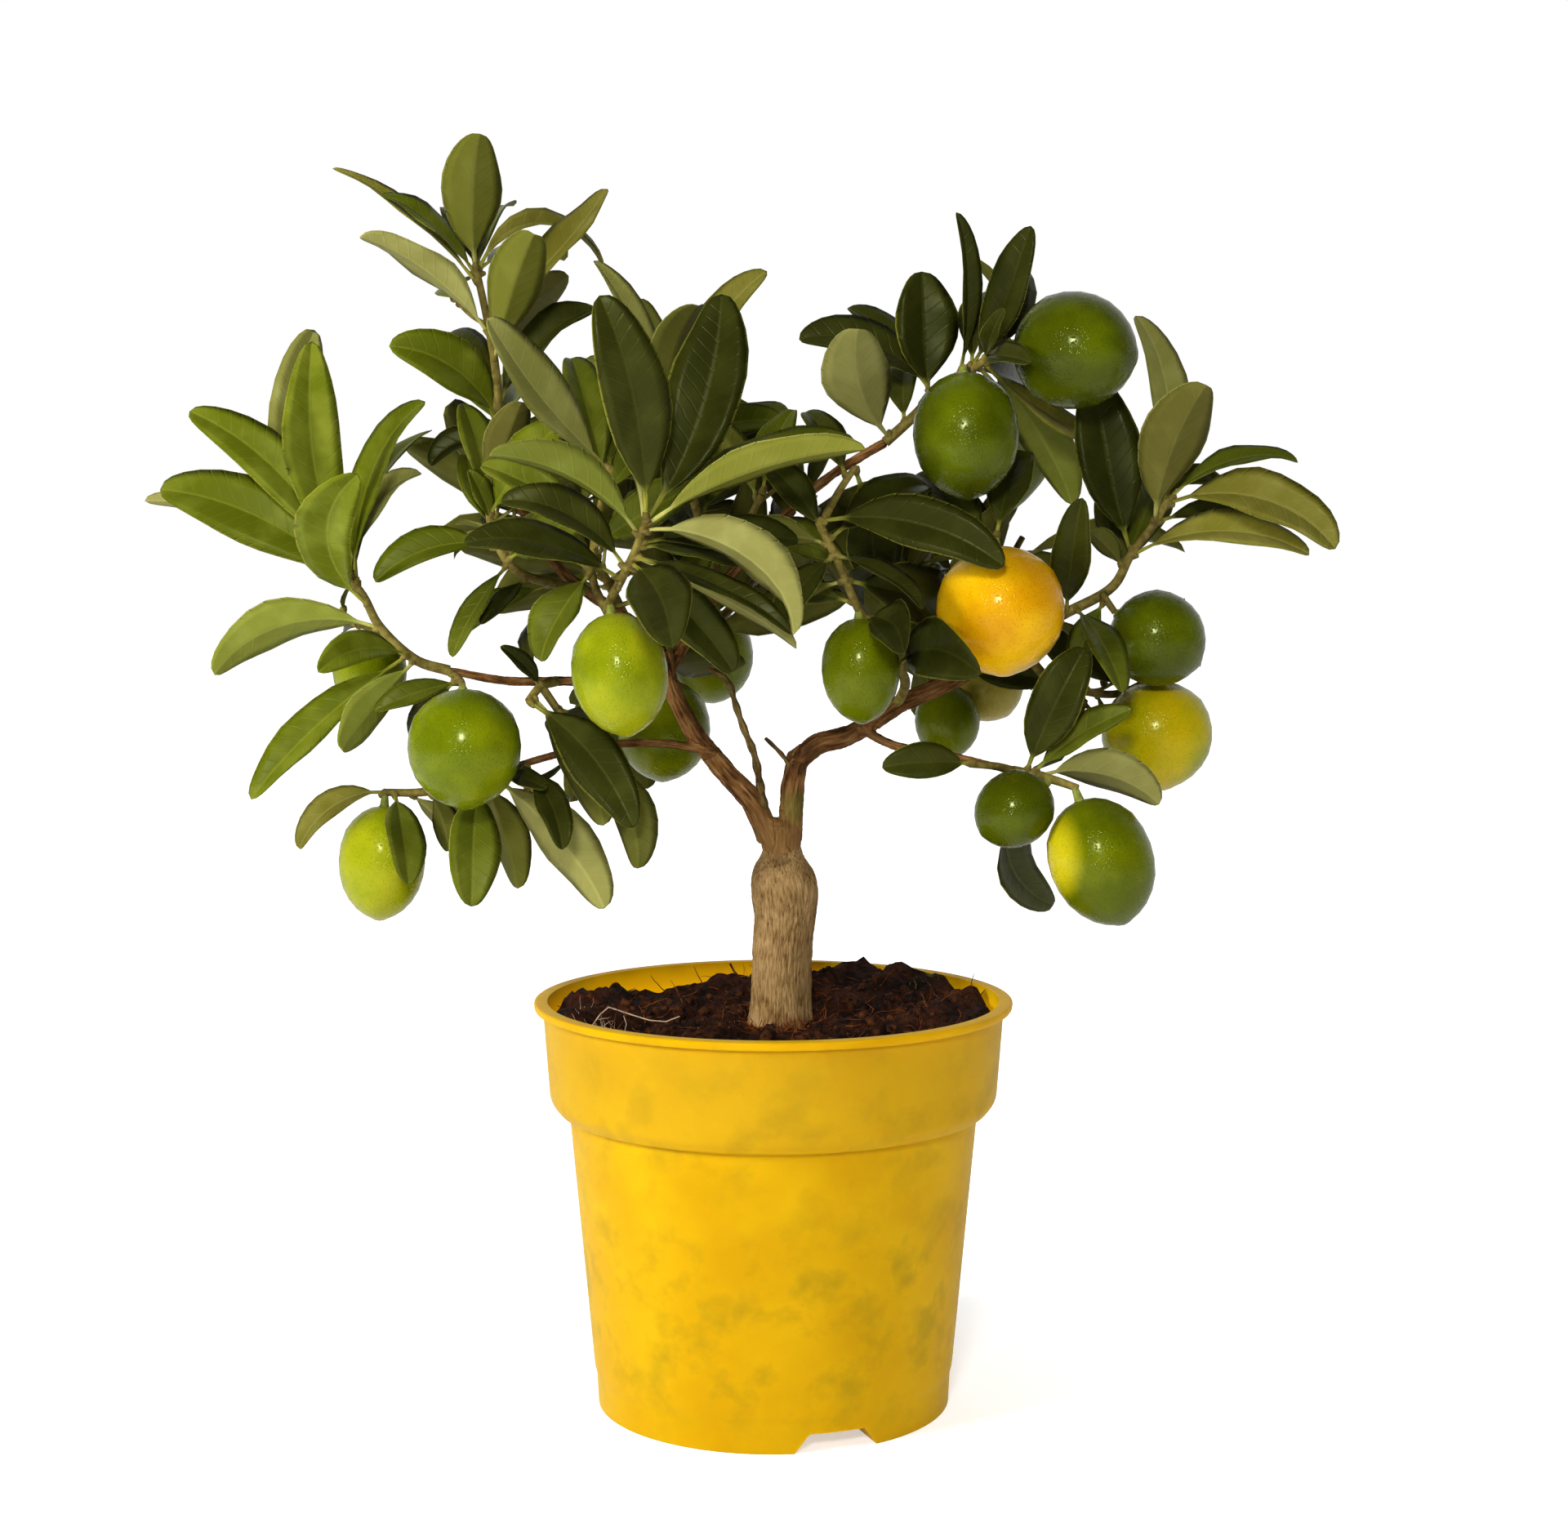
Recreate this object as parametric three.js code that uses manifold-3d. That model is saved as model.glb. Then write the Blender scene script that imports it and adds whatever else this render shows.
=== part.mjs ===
// A limequat tree in its nursery pot: trunk, boughs, leafy masses with fruit, peat and pot.
// Millimetres, +Z up. The origin is on the pot's axis under its floor, and -Y is the front.
import * as THREE from "three";
import { mergeVertices } from "three/addons/utils/BufferGeometryUtils.js";
import Module from "manifold-3d";

const wasm = await Module();
wasm.setup();

// Driving dimensions
const pot = {
  height: 153.4,
  lipRadius: 90,
  lipHeight: 3,
  lipRound: 0.8,
  collarTopRadius: 86.5,
  collarFootRadius: 84.2,
  collarFoot: 113,
  collarRound: 5,
  shoulder: 1.5,
  bodyTopRadius: 76.9,
  footRadius: 66.5,
  wall: 1.6,
  floor: 2.4,
  sides: 36,
};
const notch = { height: 7, footHalfWidth: 16.6, topHalfWidth: 10.6, innerRadius: 42, overrun: 1 };
const notchDirections = [-69.5, 50.5, 170.5];
const soil = { level: 145.2, edge: 139.2, pad: 142.4, padRadius: 15, padBlend: 12, edgeGap: 1.3 };
const soilRadii = [74, 60, 46, 30];
const soilHeaps = [
  // centre x, centre y, height, spread
  [45, 40, 3.2, 30],
  [-45, 52, -4.5, 26],
  [-74, -18, 4, 11],
];
const trunk = {
  foot: 142.7,
  sides: 12,
  flare: 0.2,
  flareHeight: 5,
  roots: 2.5,
  neck: 212,
  neckDepth: 0.8,
  bodyDepth: 0.95,
};
const limbShape = { thickFrom: 2.2, thickSides: 8, thinSides: 5, stepsPerPlace: 1.5 };
const twig = { stemRadii: [2, 1.4], sideRadii: [1.6, 1.25], sides: 3, fruitStalk: [1.2, 1.4] };
const clearance = 0.3;
const leafShape = {
  thicknessShare: 0.016,
  thinnest: 0.8,
  fold: 18,
  bend: 32,
  stalkShare: 0.12,
  stalkHalfWidth: 1,
  rootDepth: 0.4,
};
const leafStations = { seen: [0.13, 0.42, 0.8], behind: [0.33, 0.72] };
const fruitSides = 10;
const apart = { ownLeaf: 1.2, otherLeaf: 2.6, wood: 1.6, fruit: 1.2, ownRoot: 0.3, foot: 9, rim: 2 };
const viewpoint = new THREE.Vector3(4, -1004, 331);
const crownSeed = 7;

const materials = {
  yellowPlastic: standard("#e9b208", 0.42),
  peat: standard("#33231a", 0.95),
  trunkBark: standard("#9c8466", 0.85),
  boughBark: standard("#6d5a40", 0.8),
  deadWood: standard("#5c4a34", 0.9),
  foliage: standard("#3c5522", 0.5),
};

function standard(color, roughness) {
  return new THREE.MeshStandardMaterial({ color, roughness, metalness: 0 });
}

const part = new THREE.Group();
part.name = "potted_limequat_tree";

// Solids and meshes
function solidFrom(geometry) {
  const bare = geometry.clone();
  bare.deleteAttribute("normal");
  bare.deleteAttribute("uv");
  const merged = mergeVertices(bare, 1e-4);
  const corners = merged.index.array;
  const kept = [];
  for (let i = 0; i < corners.length; i += 3) {
    const [a, b, c] = corners.slice(i, i + 3);
    if (a !== b && b !== c && c !== a) kept.push(a, b, c);
  }
  const vertProperties = new Float32Array(merged.attributes.position.array);
  return new wasm.Manifold(
    new wasm.Mesh({ numProp: 3, vertProperties, triVerts: new Uint32Array(kept) }),
  );
}

function largestBody(solid) {
  return solid.decompose().reduce((best, body) => (body.volume() > best.volume() ? body : best));
}

function addNode(name, solid, material) {
  const mesh = largestBody(solid).getMesh();
  const geometry = new THREE.BufferGeometry();
  geometry.setAttribute("position", new THREE.BufferAttribute(mesh.vertProperties, 3));
  geometry.setIndex(new THREE.BufferAttribute(mesh.triVerts, 1));
  geometry.computeVertexNormals();
  const made = new THREE.Mesh(geometry, material);
  made.name = name;
  part.add(made);
}

// A closed skin over rings of equally many points, with a point or a flat cap at each end.
function loft(rings, start = centreOf(rings[0]), end = centreOf(rings.at(-1))) {
  const count = rings[0].length;
  const points = [start, ...rings.flat(), end];
  const last = points.length - 1;
  const corners = [];
  for (let i = 0; i < count; i++) {
    const next = (i + 1) % count;
    corners.push(0, 1 + next, 1 + i);
    for (let r = 0; r < rings.length - 1; r++) {
      const low = 1 + r * count;
      const high = low + count;
      corners.push(low + i, low + next, high + next, low + i, high + next, high + i);
    }
    const top = last - count;
    corners.push(last, top + i, top + next);
  }
  const geometry = new THREE.BufferGeometry().setFromPoints(points);
  geometry.setIndex(corners);
  const solid = solidFrom(geometry);
  if (solid.volume() > 0) return solid;
  for (let i = 0; i < corners.length; i += 3) corners.splice(i, 3, ...corners.slice(i, i + 3).reverse());
  geometry.setIndex(corners);
  return solidFrom(geometry);
}

function centreOf(ring) {
  const sum = new THREE.Vector3();
  ring.forEach((point) => sum.add(point));
  return sum.divideScalar(ring.length);
}

function radians(degrees) {
  return THREE.MathUtils.degToRad(degrees);
}

// The pot: a thin moulded cup with a lip, a wide collar, a plain body and three drainage channels
function lathe(profile) {
  const outline = profile.map(([radius, height]) => new THREE.Vector2(radius, height));
  const turned = new THREE.LatheGeometry(outline, pot.sides).rotateX(Math.PI / 2);
  return solidFrom(turned);
}

function channel(grow) {
  const outline = new THREE.Shape();
  outline.moveTo(-notch.footHalfWidth - grow, -notch.overrun);
  outline.lineTo(notch.footHalfWidth + grow, -notch.overrun);
  outline.lineTo(notch.topHalfWidth + grow, notch.height + grow);
  outline.lineTo(-notch.topHalfWidth - grow, notch.height + grow);
  const start = notch.innerRadius - grow;
  const options = { depth: pot.lipRadius - start, bevelEnabled: false };
  const bar = new THREE.ExtrudeGeometry(outline, options);
  bar.translate(0, 0, start).rotateX(Math.PI / 2).rotateZ(Math.PI / 2);
  return notchDirections.map((angle) => solidFrom(bar.clone().rotateZ(radians(angle))));
}

const inside = {
  footRadius: pot.footRadius - pot.wall,
  bodyTopRadius: pot.bodyTopRadius - pot.wall,
  collarFootRadius: pot.collarFootRadius - pot.wall,
  collarTopRadius: pot.collarTopRadius - pot.wall,
};

const ledge = pot.collarFootRadius - pot.bodyTopRadius;

function cavityProfile(gap, top) {
  return [
    [0, pot.floor + gap],
    [inside.footRadius - gap, pot.floor + gap],
    [inside.bodyTopRadius - gap, pot.collarFoot],
    [inside.collarFootRadius - ledge / 2 - gap, pot.collarFoot + pot.shoulder],
    [inside.collarFootRadius - gap, pot.collarFoot + pot.shoulder + pot.collarRound],
    [inside.collarTopRadius - gap, top],
  ];
}

const lipFoot = pot.height - pot.lipHeight;
const potOutside = lathe([
  [0, 0],
  [pot.footRadius, 0],
  [pot.bodyTopRadius, pot.collarFoot - pot.shoulder],
  [pot.bodyTopRadius + ledge / 2, pot.collarFoot - pot.shoulder / 2],
  [pot.collarFootRadius - pot.lipRound, pot.collarFoot + pot.shoulder],
  [pot.collarFootRadius, pot.collarFoot + pot.collarRound],
  [pot.collarTopRadius, lipFoot],
  [pot.lipRadius - pot.lipRound / 2, lipFoot],
  [pot.lipRadius, lipFoot + pot.lipRound],
  [pot.lipRadius, pot.height - pot.lipRound],
  [pot.lipRadius - pot.lipRound, pot.height],
  [0, pot.height],
]);
const aboveRim = pot.height + pot.lipHeight;
const cavity = lathe([...cavityProfile(0, pot.height), [inside.collarTopRadius, aboveRim], [0, aboveRim]]);
const channelRoofs = channel(pot.wall);
let hollow = cavity;
channelRoofs.forEach((roof) => (hollow = hollow.subtract(roof)));
let potSolid = potOutside.subtract(hollow);
channel(0).forEach((opening) => (potSolid = potSolid.subtract(opening)));
addNode("pot", potSolid, materials.yellowPlastic);

// The peat: it fills the pot to just under the rim, flat under the trunk and lumpy round it
function soilHeight(x, y) {
  const broad = 2.2 * Math.sin(x * 0.11 + 1.3) * Math.cos(y * 0.13);
  const small = 1.3 * Math.sin(x * 0.23 - y * 0.19 + 0.7);
  const lumpy = soilHeaps.reduce(
    (sum, [cx, cy, rise, spread]) => sum + rise * Math.exp(-((x - cx) ** 2 + (y - cy) ** 2) / spread ** 2),
    soil.level + broad + small,
  );
  const share = THREE.MathUtils.smoothstep(Math.hypot(x, y), soil.padRadius, soil.padRadius + soil.padBlend);
  return soil.pad + (lumpy - soil.pad) * share;
}

const soilWall = inside.collarTopRadius - soil.edgeGap;
const soilRings = cavityProfile(clearance, soil.edge)
  .slice(1, -1)
  .concat([[soilWall, soil.edge]])
  .map(([radius, height]) => circle(radius, () => height));
[soilWall, ...soilRadii, soil.padRadius].forEach((radius) => soilRings.push(circle(radius, soilHeight)));

function circle(radius, height) {
  return Array.from({ length: pot.sides }, (_, i) => {
    const angle = (i / pot.sides) * 2 * Math.PI + Math.PI / 2;
    const x = radius * Math.cos(angle);
    const y = radius * Math.sin(angle);
    return new THREE.Vector3(x, y, height(x, y));
  });
}

let soilSolid = loft(soilRings);
channel(pot.wall + clearance).forEach((roof) => (soilSolid = soilSolid.subtract(roof)));
addNode("soil", soilSolid, materials.peat);

// The trunk: tapering and leaning a little, flared at the soil and swollen where it was grafted
const trunkProfile = [
  // height, centre x, half width
  [142.7, 2.6, 12.2],
  [148, 2.7, 11.6],
  [158, 3.0, 11.2],
  [172, 3.6, 11.2],
  [184, 4.3, 11.5],
  [193, 4.3, 12.5],
  [198, 3.8, 12.3],
  [203, 3.4, 10.6],
  [206.5, 3.3, 8.2],
  [210.5, 3.2, 6.9],
  [214.5, 2.6, 7.4],
  [218.3, 2.2, 8.0],
];

function trunkRing([height, centre, halfWidth]) {
  const nearSoil = Math.exp(-(height - trunk.foot) / trunk.flareHeight);
  return Array.from({ length: trunk.sides }, (_, i) => {
    const angle = (i / trunk.sides) * 2 * Math.PI;
    const root = Math.max(0, Math.cos(trunk.roots * angle - 1));
    const radius = halfWidth * (1 + trunk.flare * nearSoil * root);
    const depthShare = height > trunk.neck ? trunk.neckDepth : trunk.bodyDepth;
    return new THREE.Vector3(
      centre + radius * Math.cos(angle),
      radius * depthShare * Math.sin(angle),
      height,
    );
  });
}

const trunkSolid = loft(trunkProfile.map(trunkRing));
addNode("trunk", trunkSolid, materials.trunkBark);

// Boughs and branches: each is one tapering limb along a smooth curve through a few places
const limbs = [
  {
    name: "right_leader",
    path: [[6.2, 0, 213], [6.8, 0, 226], [7.6, 0, 236], [9.6, 0, 245.5]],
    radii: [4.6, 4.1],
  },
  {
    name: "left_bough",
    path: [
      [-1.5, 0, 214],
      [-8, -1, 228],
      [-17, -2, 238],
      [-30, -5, 255],
      [-38, -8, 272],
      [-40, -8, 284],
    ],
    radii: [4.6, 2.9],
  },
  {
    name: "right_bough",
    path: [
      [8.8, 0, 243],
      [17, -1, 249.5],
      [28, -2, 252.6],
      [46, -5, 264],
      [66, -8, 273.5],
      [87, -8, 285],
      [106, -10, 297.5],
    ],
    radii: [4.1, 2.5],
  },
  {
    name: "left_branch",
    path: [[-38.4, -8, 274], [-60, -11, 273.5], [-80, -12, 273.5], [-99, -10, 273.5], [-120, -6, 277]],
    radii: [2, 1.5],
  },
  {
    name: "lower_left_branch",
    path: [[-24, -4, 247], [-40, -7, 250], [-57, -8, 250], [-80, -8, 246], [-104, -8, 239]],
    radii: [1.7, 1.3],
  },
  {
    name: "top_left_branch",
    path: [[-40, -8, 280], [-46, 0, 290], [-60, 9, 299], [-80, 12, 314], [-99, 6, 345]],
    radii: [2.6, 1.7],
  },
  {
    name: "top_right_branch",
    path: [[-38.6, -7.6, 277], [-33, 2, 287], [-23, 8, 303], [-1, 5, 329], [20, -5, 348], [41, -12, 361]],
    radii: [2.4, 1.7],
  },
  {
    name: "lower_right_branch",
    path: [[33, -3, 255], [45, -10, 249.5], [65, -25, 247], [86, -42, 243]],
    radii: [1.8, 1.3],
  },
  {
    name: "dead_twig",
    path: [
      [-3, -1, 224],
      [-5, -7, 235],
      [-7, -8, 246],
      [-11, -9, 256],
      [-14, -10, 265],
      [-17, -11, 274],
      [-24, -12, 278],
    ],
    radii: [1.3, 0.9],
    knobs: 0.35,
  },
  { name: "dead_stub", path: [[7, -1, 240], [3, -5, 246], [-3, -6, 252]], radii: [0.9, 0.7] },
];

function curveThrough(path) {
  const places = path.map((place) => new THREE.Vector3(...place));
  return new THREE.CatmullRomCurve3(places, false, "centripetal");
}

// Rings of a tube whose radius runs evenly from foot to tip
function tube(curve, [footRadius, tipRadius], { sides, steps, grow = 0, knobs = 0 }) {
  const frames = curve.computeFrenetFrames(steps, false);
  const rings = [];
  for (let step = 0; step <= steps; step++) {
    const share = step / steps;
    const centre = curve.getPointAt(share);
    const knob = step % 2 ? 1 + knobs : 1;
    const radius = THREE.MathUtils.lerp(footRadius, tipRadius, share) * knob + grow;
    const ring = Array.from({ length: sides }, (_, i) => {
      const angle = (i / sides) * 2 * Math.PI;
      return centre
        .clone()
        .addScaledVector(frames.normals[step], radius * Math.cos(angle))
        .addScaledVector(frames.binormals[step], radius * Math.sin(angle));
    });
    rings.push(ring);
  }
  return loft(rings);
}

// The wood with its clearance, which every later limb and mass is cut back by
const wood = [growTrunk()];

function growTrunk() {
  const grown = trunkProfile.map(([height, centre, halfWidth], i) => {
    const past = i === 0 ? -clearance : i === trunkProfile.length - 1 ? clearance : 0;
    return [height + past, centre, halfWidth + clearance];
  });
  return loft(grown.map(trunkRing));
}

const limbCentres = [];
for (const limb of limbs) {
  const curve = curveThrough(limb.path);
  const shape = {
    sides: limb.radii[0] > limbShape.thickFrom ? limbShape.thickSides : limbShape.thinSides,
    steps: Math.round(limb.path.length * limbShape.stepsPerPlace),
    knobs: limb.knobs,
  };
  let solid = tube(curve, limb.radii, shape);
  wood.forEach((grown) => (solid = solid.subtract(grown)));
  wood.push(tube(curve, limb.radii, { ...shape, grow: clearance }));
  limbCentres.push(...centresAlong(curve, limb.radii));
  const dead = limb.name.startsWith("dead");
  addNode(limb.name, solid, dead ? materials.deadWood : materials.boughBark);
}
trunkProfile.forEach(([height, centre, radius]) =>
  limbCentres.push({ centre: new THREE.Vector3(centre, 0, height), radius }),
);

// The crown. Each mass grows from one stem on a limb, and its other shoots grow from that stem.
// A shoot: the parent shoot and the share of it where this one starts, then the places it passes.
// A leaf: share of the shoot, clock direction from the front, lean towards the front (degrees),
// length and width (mm), how far its upper side turns up from facing the front, and the arch of
// its midrib as seen from the front where it has one (degrees).
// A fruit: share, clock direction, lean, stalk, width and length (mm).
// Hidden: how many more leaves the growth rule sets behind those of the table.
const crown = [
  {
    name: "top_left_mass",
    shoots: [
      {
        path: [[-99, 6, 345], [-102, 4, 366], [-102.5, 2, 386], [-105, 0, 404], [-109, -2, 424]],
        leaves: [
          [1, 7, 20, 50, 21, 165, -10],
          [0.97, 312, 20, 46, 15, 60, 30],
          [0.93, 310, 5, 68, 12, 58, 20],
          [0.7, 308, 25, 61, 20, 128, 35],
          [0.58, 24, 42, 65, 24, 170, 20],
          [0.66, 38, -45, 50, 20, 145],
          [0.78, 42, -12, 67, 19, 45, -20],
          [0.98, 80, -20, 54, 16, 45, 90],
          [0.98, 13, -55, 60, 16, 30],
          [0.99, 326, -50, 56, 16, 30],
          [0.24, 310, 20, 56, 21, 40, 65],
          [0.42, 322, -40, 44, 18, 30],
          [0.36, 42, -20, 55, 19, 35, 50],
          [0.22, 306, -30, 20, 6, 40],
        ],
        hidden: 4,
      },
    ],
  },
  {
    name: "left_mass",
    shoots: [
      {
        path: [[-120, -6, 277], [-132, -8, 281], [-145, -12, 294], [-150, -16, 305], [-156, -18, 313]],
        leaves: [
          [0.8, 298, 10, 85, 25, 25, 50],
          [0.84, 291, -14, 93, 23, 35, 35],
          [1, 316, 0, 76, 22, 25, 30],
          [1, 349, -26, 104, 23, 25, -15],
          [0.97, 354, 12, 85, 23, 12, 10],
          [0.9, 19, -4, 73, 20, 40, 50],
          [0.88, 16, -40, 84, 20, 135, 50],
          [0.72, 8, -52, 80, 18, 150, 40],
          [0.74, 12, 45, 68, 26, 10, -10],
          [0.55, 256, 25, 65, 21, 35, 65],
          [0.52, 273, -8, 43, 19, 30, 85],
          [0.3, 264, 4, 38, 17, 35, 65],
          [0.42, 221, 22, 75, 20, 30, 25],
          [0.34, 204, 45, 56, 20, 150, 20],
          [0.1, 250, 48, 46, 16, 30],
        ],
        hidden: 4,
      },
      {
        from: [0, 0.02],
        path: [[-115, -16, 274], [-112, -33, 273]],
        fruits: [[1, 178, 6, 1, 41, 44]],
        leaves: [[0.5, 252, 10, 34, 12, 35]],
      },
      {
        from: [0, 0.36],
        path: [[-146, 2, 290], [-152, 8, 292]],
        fruits: [[1, 182, -20, 2, 28, 32]],
        leaves: [],
      },
    ],
  },
  {
    name: "lower_left_mass",
    shoots: [
      {
        path: [[-104, -8, 239], [-117, -9, 234.5], [-131, -9, 232], [-144, -9, 232]],
        leaves: [
          [0.98, 237, 0, 39, 15, 40, 80],
          [0.72, 159, 62, 52, 15, 150],
          [0.6, 157, 30, 26, 14, 160, 30],
          [0.55, 160, -15, 30, 14, 30, 30],
          [0.14, 180, 30, 51, 21, 15],
          [0.1, 165, -20, 48, 20, 160],
          [0.02, 138, 8, 66, 21, 165, 30],
        ],
        fruits: [[1, 183, 2, 5, 32, 43]],
        hidden: 4,
      },
      {
        from: [0, 0.03],
        path: [[-98, -16, 241], [-91, -20, 243]],
        leaves: [
          [1, 153, 25, 36, 15, 20, 30],
          [0.6, 110, 30, 22, 9, 30],
        ],
      },
    ],
  },
  {
    name: "front_left_mass",
    shoots: [
      {
        path: [[-80, -12, 273.5], [-85, -20, 272], [-89, -26, 267]],
        leaves: [
          [1, 138, 20, 62, 22, 10, 30],
          [0.85, 150, -8, 54, 21, 165, 30],
          [0.5, 320, 40, 26, 9, 40],
        ],
        hidden: 2,
      },
      {
        from: [0, 0.5],
        path: [[-72, -20, 254], [-64, -22, 246]],
        leaves: [
          [0.9, 157, 15, 47, 20, 165, 40],
          [0.3, 141, -20, 46, 18, 30, 30],
        ],
      },
    ],
  },
  {
    name: "mid_left_mass",
    shoots: [
      {
        path: [[-70, 11, 306], [-82, 4, 309], [-95, -5, 314], [-102, -10, 325], [-105, -12, 340]],
        leaves: [
          [0.7, 254, 15, 47, 18, 35, 65],
          [0.5, 218, 22, 42, 15, 35, 30],
          [0.34, 236, 35, 30, 12, 35, 30],
          [0.86, 325, 10, 22, 11, 40],
          [0.8, 315, -24, 38, 16, 20],
          [1, 318, 5, 38, 16, 30],
          [0.9, 40, 25, 50, 19, 20],
          [0.6, 60, 30, 46, 18, 20],
          [1, 10, 25, 42, 16, 160],
          [0.3, 186, 4, 36, 16, 30],
        ],
        hidden: 4,
      },
    ],
  },
  {
    name: "front_mass",
    shoots: [
      {
        path: [
          [-39.6, -8, 280],
          [-48, -30, 286],
          [-58, -52, 300],
          [-52, -66, 313],
          [-47, -76, 322],
          [-43, -85, 332],
        ],
        leaves: [
          [1, 350, 15, 78, 26, 20, 28],
          [1, 18, -12, 84, 29, 10, -33],
          [0.98, 71, 15, 82, 20, 132, 31],
          [0.95, 65, -22, 88, 18, 40, 30],
          [0.96, 122, 25, 71, 24, 140, 74],
          [0.84, 117, 15, 67, 17, 45, 0],
          [0.8, 148, 48, 62, 25, 10, 30],
          [0.78, 136, -15, 54, 20, 20, 20],
          [0.88, 98, 5, 44, 16, 40, 20],
          [0.9, 89, -30, 58, 17, 30, 20],
          [0.76, 301, 15, 50, 19, 40, 50],
          [0.93, 299, 20, 60, 21, 135, 50],
          [0.7, 286, 35, 60, 18, 45, 40],
          [0.66, 233, 48, 44, 24, 15],
          [0.97, 325, 35, 60, 20, 40],
        ],
        fruits: [[0.58, 172, 6, 4, 34, 44]],
        hidden: 4,
      },
      {
        from: [0, 0.5],
        path: [[-64, -44, 312], [-62, -40, 334], [-58, -38, 350]],
        leaves: [
          [1, 321, 22, 65, 20, 35, 25],
          [0.9, 344, -25, 56, 19, 20],
          [0.96, 356, -40, 52, 17, 20],
          [0.6, 300, -35, 48, 17, 30],
          [0.5, 60, 20, 50, 18, 20],
          [0.8, 40, -20, 50, 18, 20],
          [0.35, 285, 10, 46, 16, 40],
        ],
        hidden: 3,
      },
    ],
  },
  {
    name: "centre_mass",
    shoots: [
      {
        path: [[-20, 8, 306], [-26, 12, 326], [-33, 12, 350], [-42, 8, 372]],
        leaves: [
          [1, 36, 5, 66, 19, 35, 20],
          [0.95, 20, 50, 66, 20, 150],
          [1, 337, 0, 62, 16, 45],
          [1, 350, -15, 46, 17, 150],
          [0.8, 315, -20, 50, 18, 30],
          [0.7, 60, -20, 50, 18, 30],
          [0.55, 70, 20, 46, 17, 30],
          [0.85, 80, -30, 44, 16, 30],
          [0.6, 290, 20, 50, 18, 30],
          [0.4, 35, -30, 50, 18, 30],
        ],
        hidden: 4,
      },
      {
        from: [0, 0.35],
        path: [[-12, 0, 330], [-4, -10, 342]],
        leaves: [
          [1, 20, -20, 36, 15, 30],
          [0.9, 330, 20, 36, 15, 150],
          [0.6, 110, 30, 44, 17, 30],
          [0.5, 150, 25, 40, 16, 150],
          [0.2, 200, 30, 40, 16, 30],
        ],
        hidden: 3,
      },
    ],
  },
  {
    name: "top_right_mass",
    shoots: [
      {
        path: [[41, -12, 361], [52, -14, 371], [62, -17, 382], [71, -19, 386.5], [86, -24, 397]],
        leaves: [
          [0.42, 292, 5, 53, 20, 35, 62],
          [0.4, 319, -25, 50, 17, 40, 30],
          [0.04, 335, 40, 53, 24, 172, -25],
          [0.16, 4, -20, 34, 15, 20],
          [0.36, 357, 0, 46, 20, 15, -20],
          [0.62, 2, 20, 60, 15, 50],
          [0.68, 21, 6, 56, 18, 30, -28],
          [0.7, 10, -40, 40, 14, 20],
          [0.8, 150, 62, 40, 15, 40],
          [0.98, 134, 30, 62, 16, 45, -15],
          [0.78, 143, -30, 70, 21, 150, 30],
          [0.74, 157, -48, 102, 24, 20, 30],
        ],
        fruits: [[0.97, 97, 15, 2.5, 42, 45]],
        hidden: 4,
      },
      {
        from: [0, 0.62],
        path: [[70, -26, 386], [68, -34, 387]],
        fruits: [[1, 178, 8, 2, 38, 46]],
        leaves: [],
      },
    ],
  },
  {
    name: "right_mass",
    shoots: [
      {
        path: [[106, -10, 297.5], [125, -12, 308.5], [131, -14, 320], [139, -16, 331], [144, -17, 340]],
        leaves: [
          [0.6, 1, -15, 61, 24, 10, -34],
          [0.86, 356, -15, 80, 21, 25, -20],
          [0.84, 14, 38, 63, 27, 172, 35],
          [0.97, 103, 20, 65, 24, 25, 80],
          [1, 78, -8, 50, 15, 55, 85],
          [1, 80, 40, 30, 14, 30],
          [0.74, 88, -20, 58, 18, 140, 62],
          [0.58, 89, 15, 65, 18, 45, 60],
          [0.5, 344, -40, 36, 16, 150],
          [0.5, 314, 30, 23, 11, 150],
          [0.04, 3, 32, 49, 17, 20],
          [0.1, 156, 50, 54, 16, 30],
        ],
        hidden: 4,
      },
      {
        from: [0, 0.3],
        path: [[121, -16, 305], [125, -18, 299]],
        fruits: [[1, 122, 5, 0.5, 35, 36]],
        leaves: [[0.5, 200, -20, 30, 13, 30]],
      },
    ],
  },
  {
    name: "right_low_mass",
    shoots: [
      {
        path: [[92, -8.5, 288], [100, 0, 276], [112, 4, 270], [128, 0, 268], [140, -4, 273.5]],
        leaves: [
          [0.6, 320, 10, 34, 14, 30],
          [0.85, 300, -10, 34, 14, 30],
        ],
        fruits: [[1, 173, 6, 0.5, 41, 41]],
        hidden: 4,
      },
    ],
  },
  {
    name: "mid_right_mass",
    shoots: [
      {
        path: [
          [46, -5, 264],
          [48, -22, 275],
          [37, -36, 290],
          [29.5, -44, 303],
          [23, -49, 318],
          [16, -52, 332],
        ],
        leaves: [
          [1, 103, 15, 68, 22, 15, 40],
          [0.92, 60, -30, 50, 19, 30],
          [0.8, 129, -50, 36, 18, 20],
          [0.86, 119, 30, 41, 13, 55],
          [0.6, 141, 40, 36, 16, 10],
          [0.34, 90, 60, 36, 20, 10],
          [0.9, 280, 10, 34, 13, 150],
          [0.86, 220, 25, 36, 14, 30],
          [0.75, 250, 30, 40, 14, 150],
          [0.95, 320, -10, 36, 15, 30],
          [0.65, 280, -20, 40, 15, 30],
        ],
        fruits: [[0.62, 178, 2, 3, 28, 38]],
        hidden: 4,
      },
      {
        from: [0, 0.98],
        path: [[23, -48, 342], [29, -44, 351]],
        leaves: [
          [1, 169, -25, 54, 26, 10, 20],
          [1, 40, -10, 34, 15, 30],
          [0.8, 330, -30, 34, 15, 30],
        ],
      },
      {
        from: [0, 0.35],
        path: [[62, -30, 296], [74, -32, 314], [80, -34, 326]],
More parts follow.
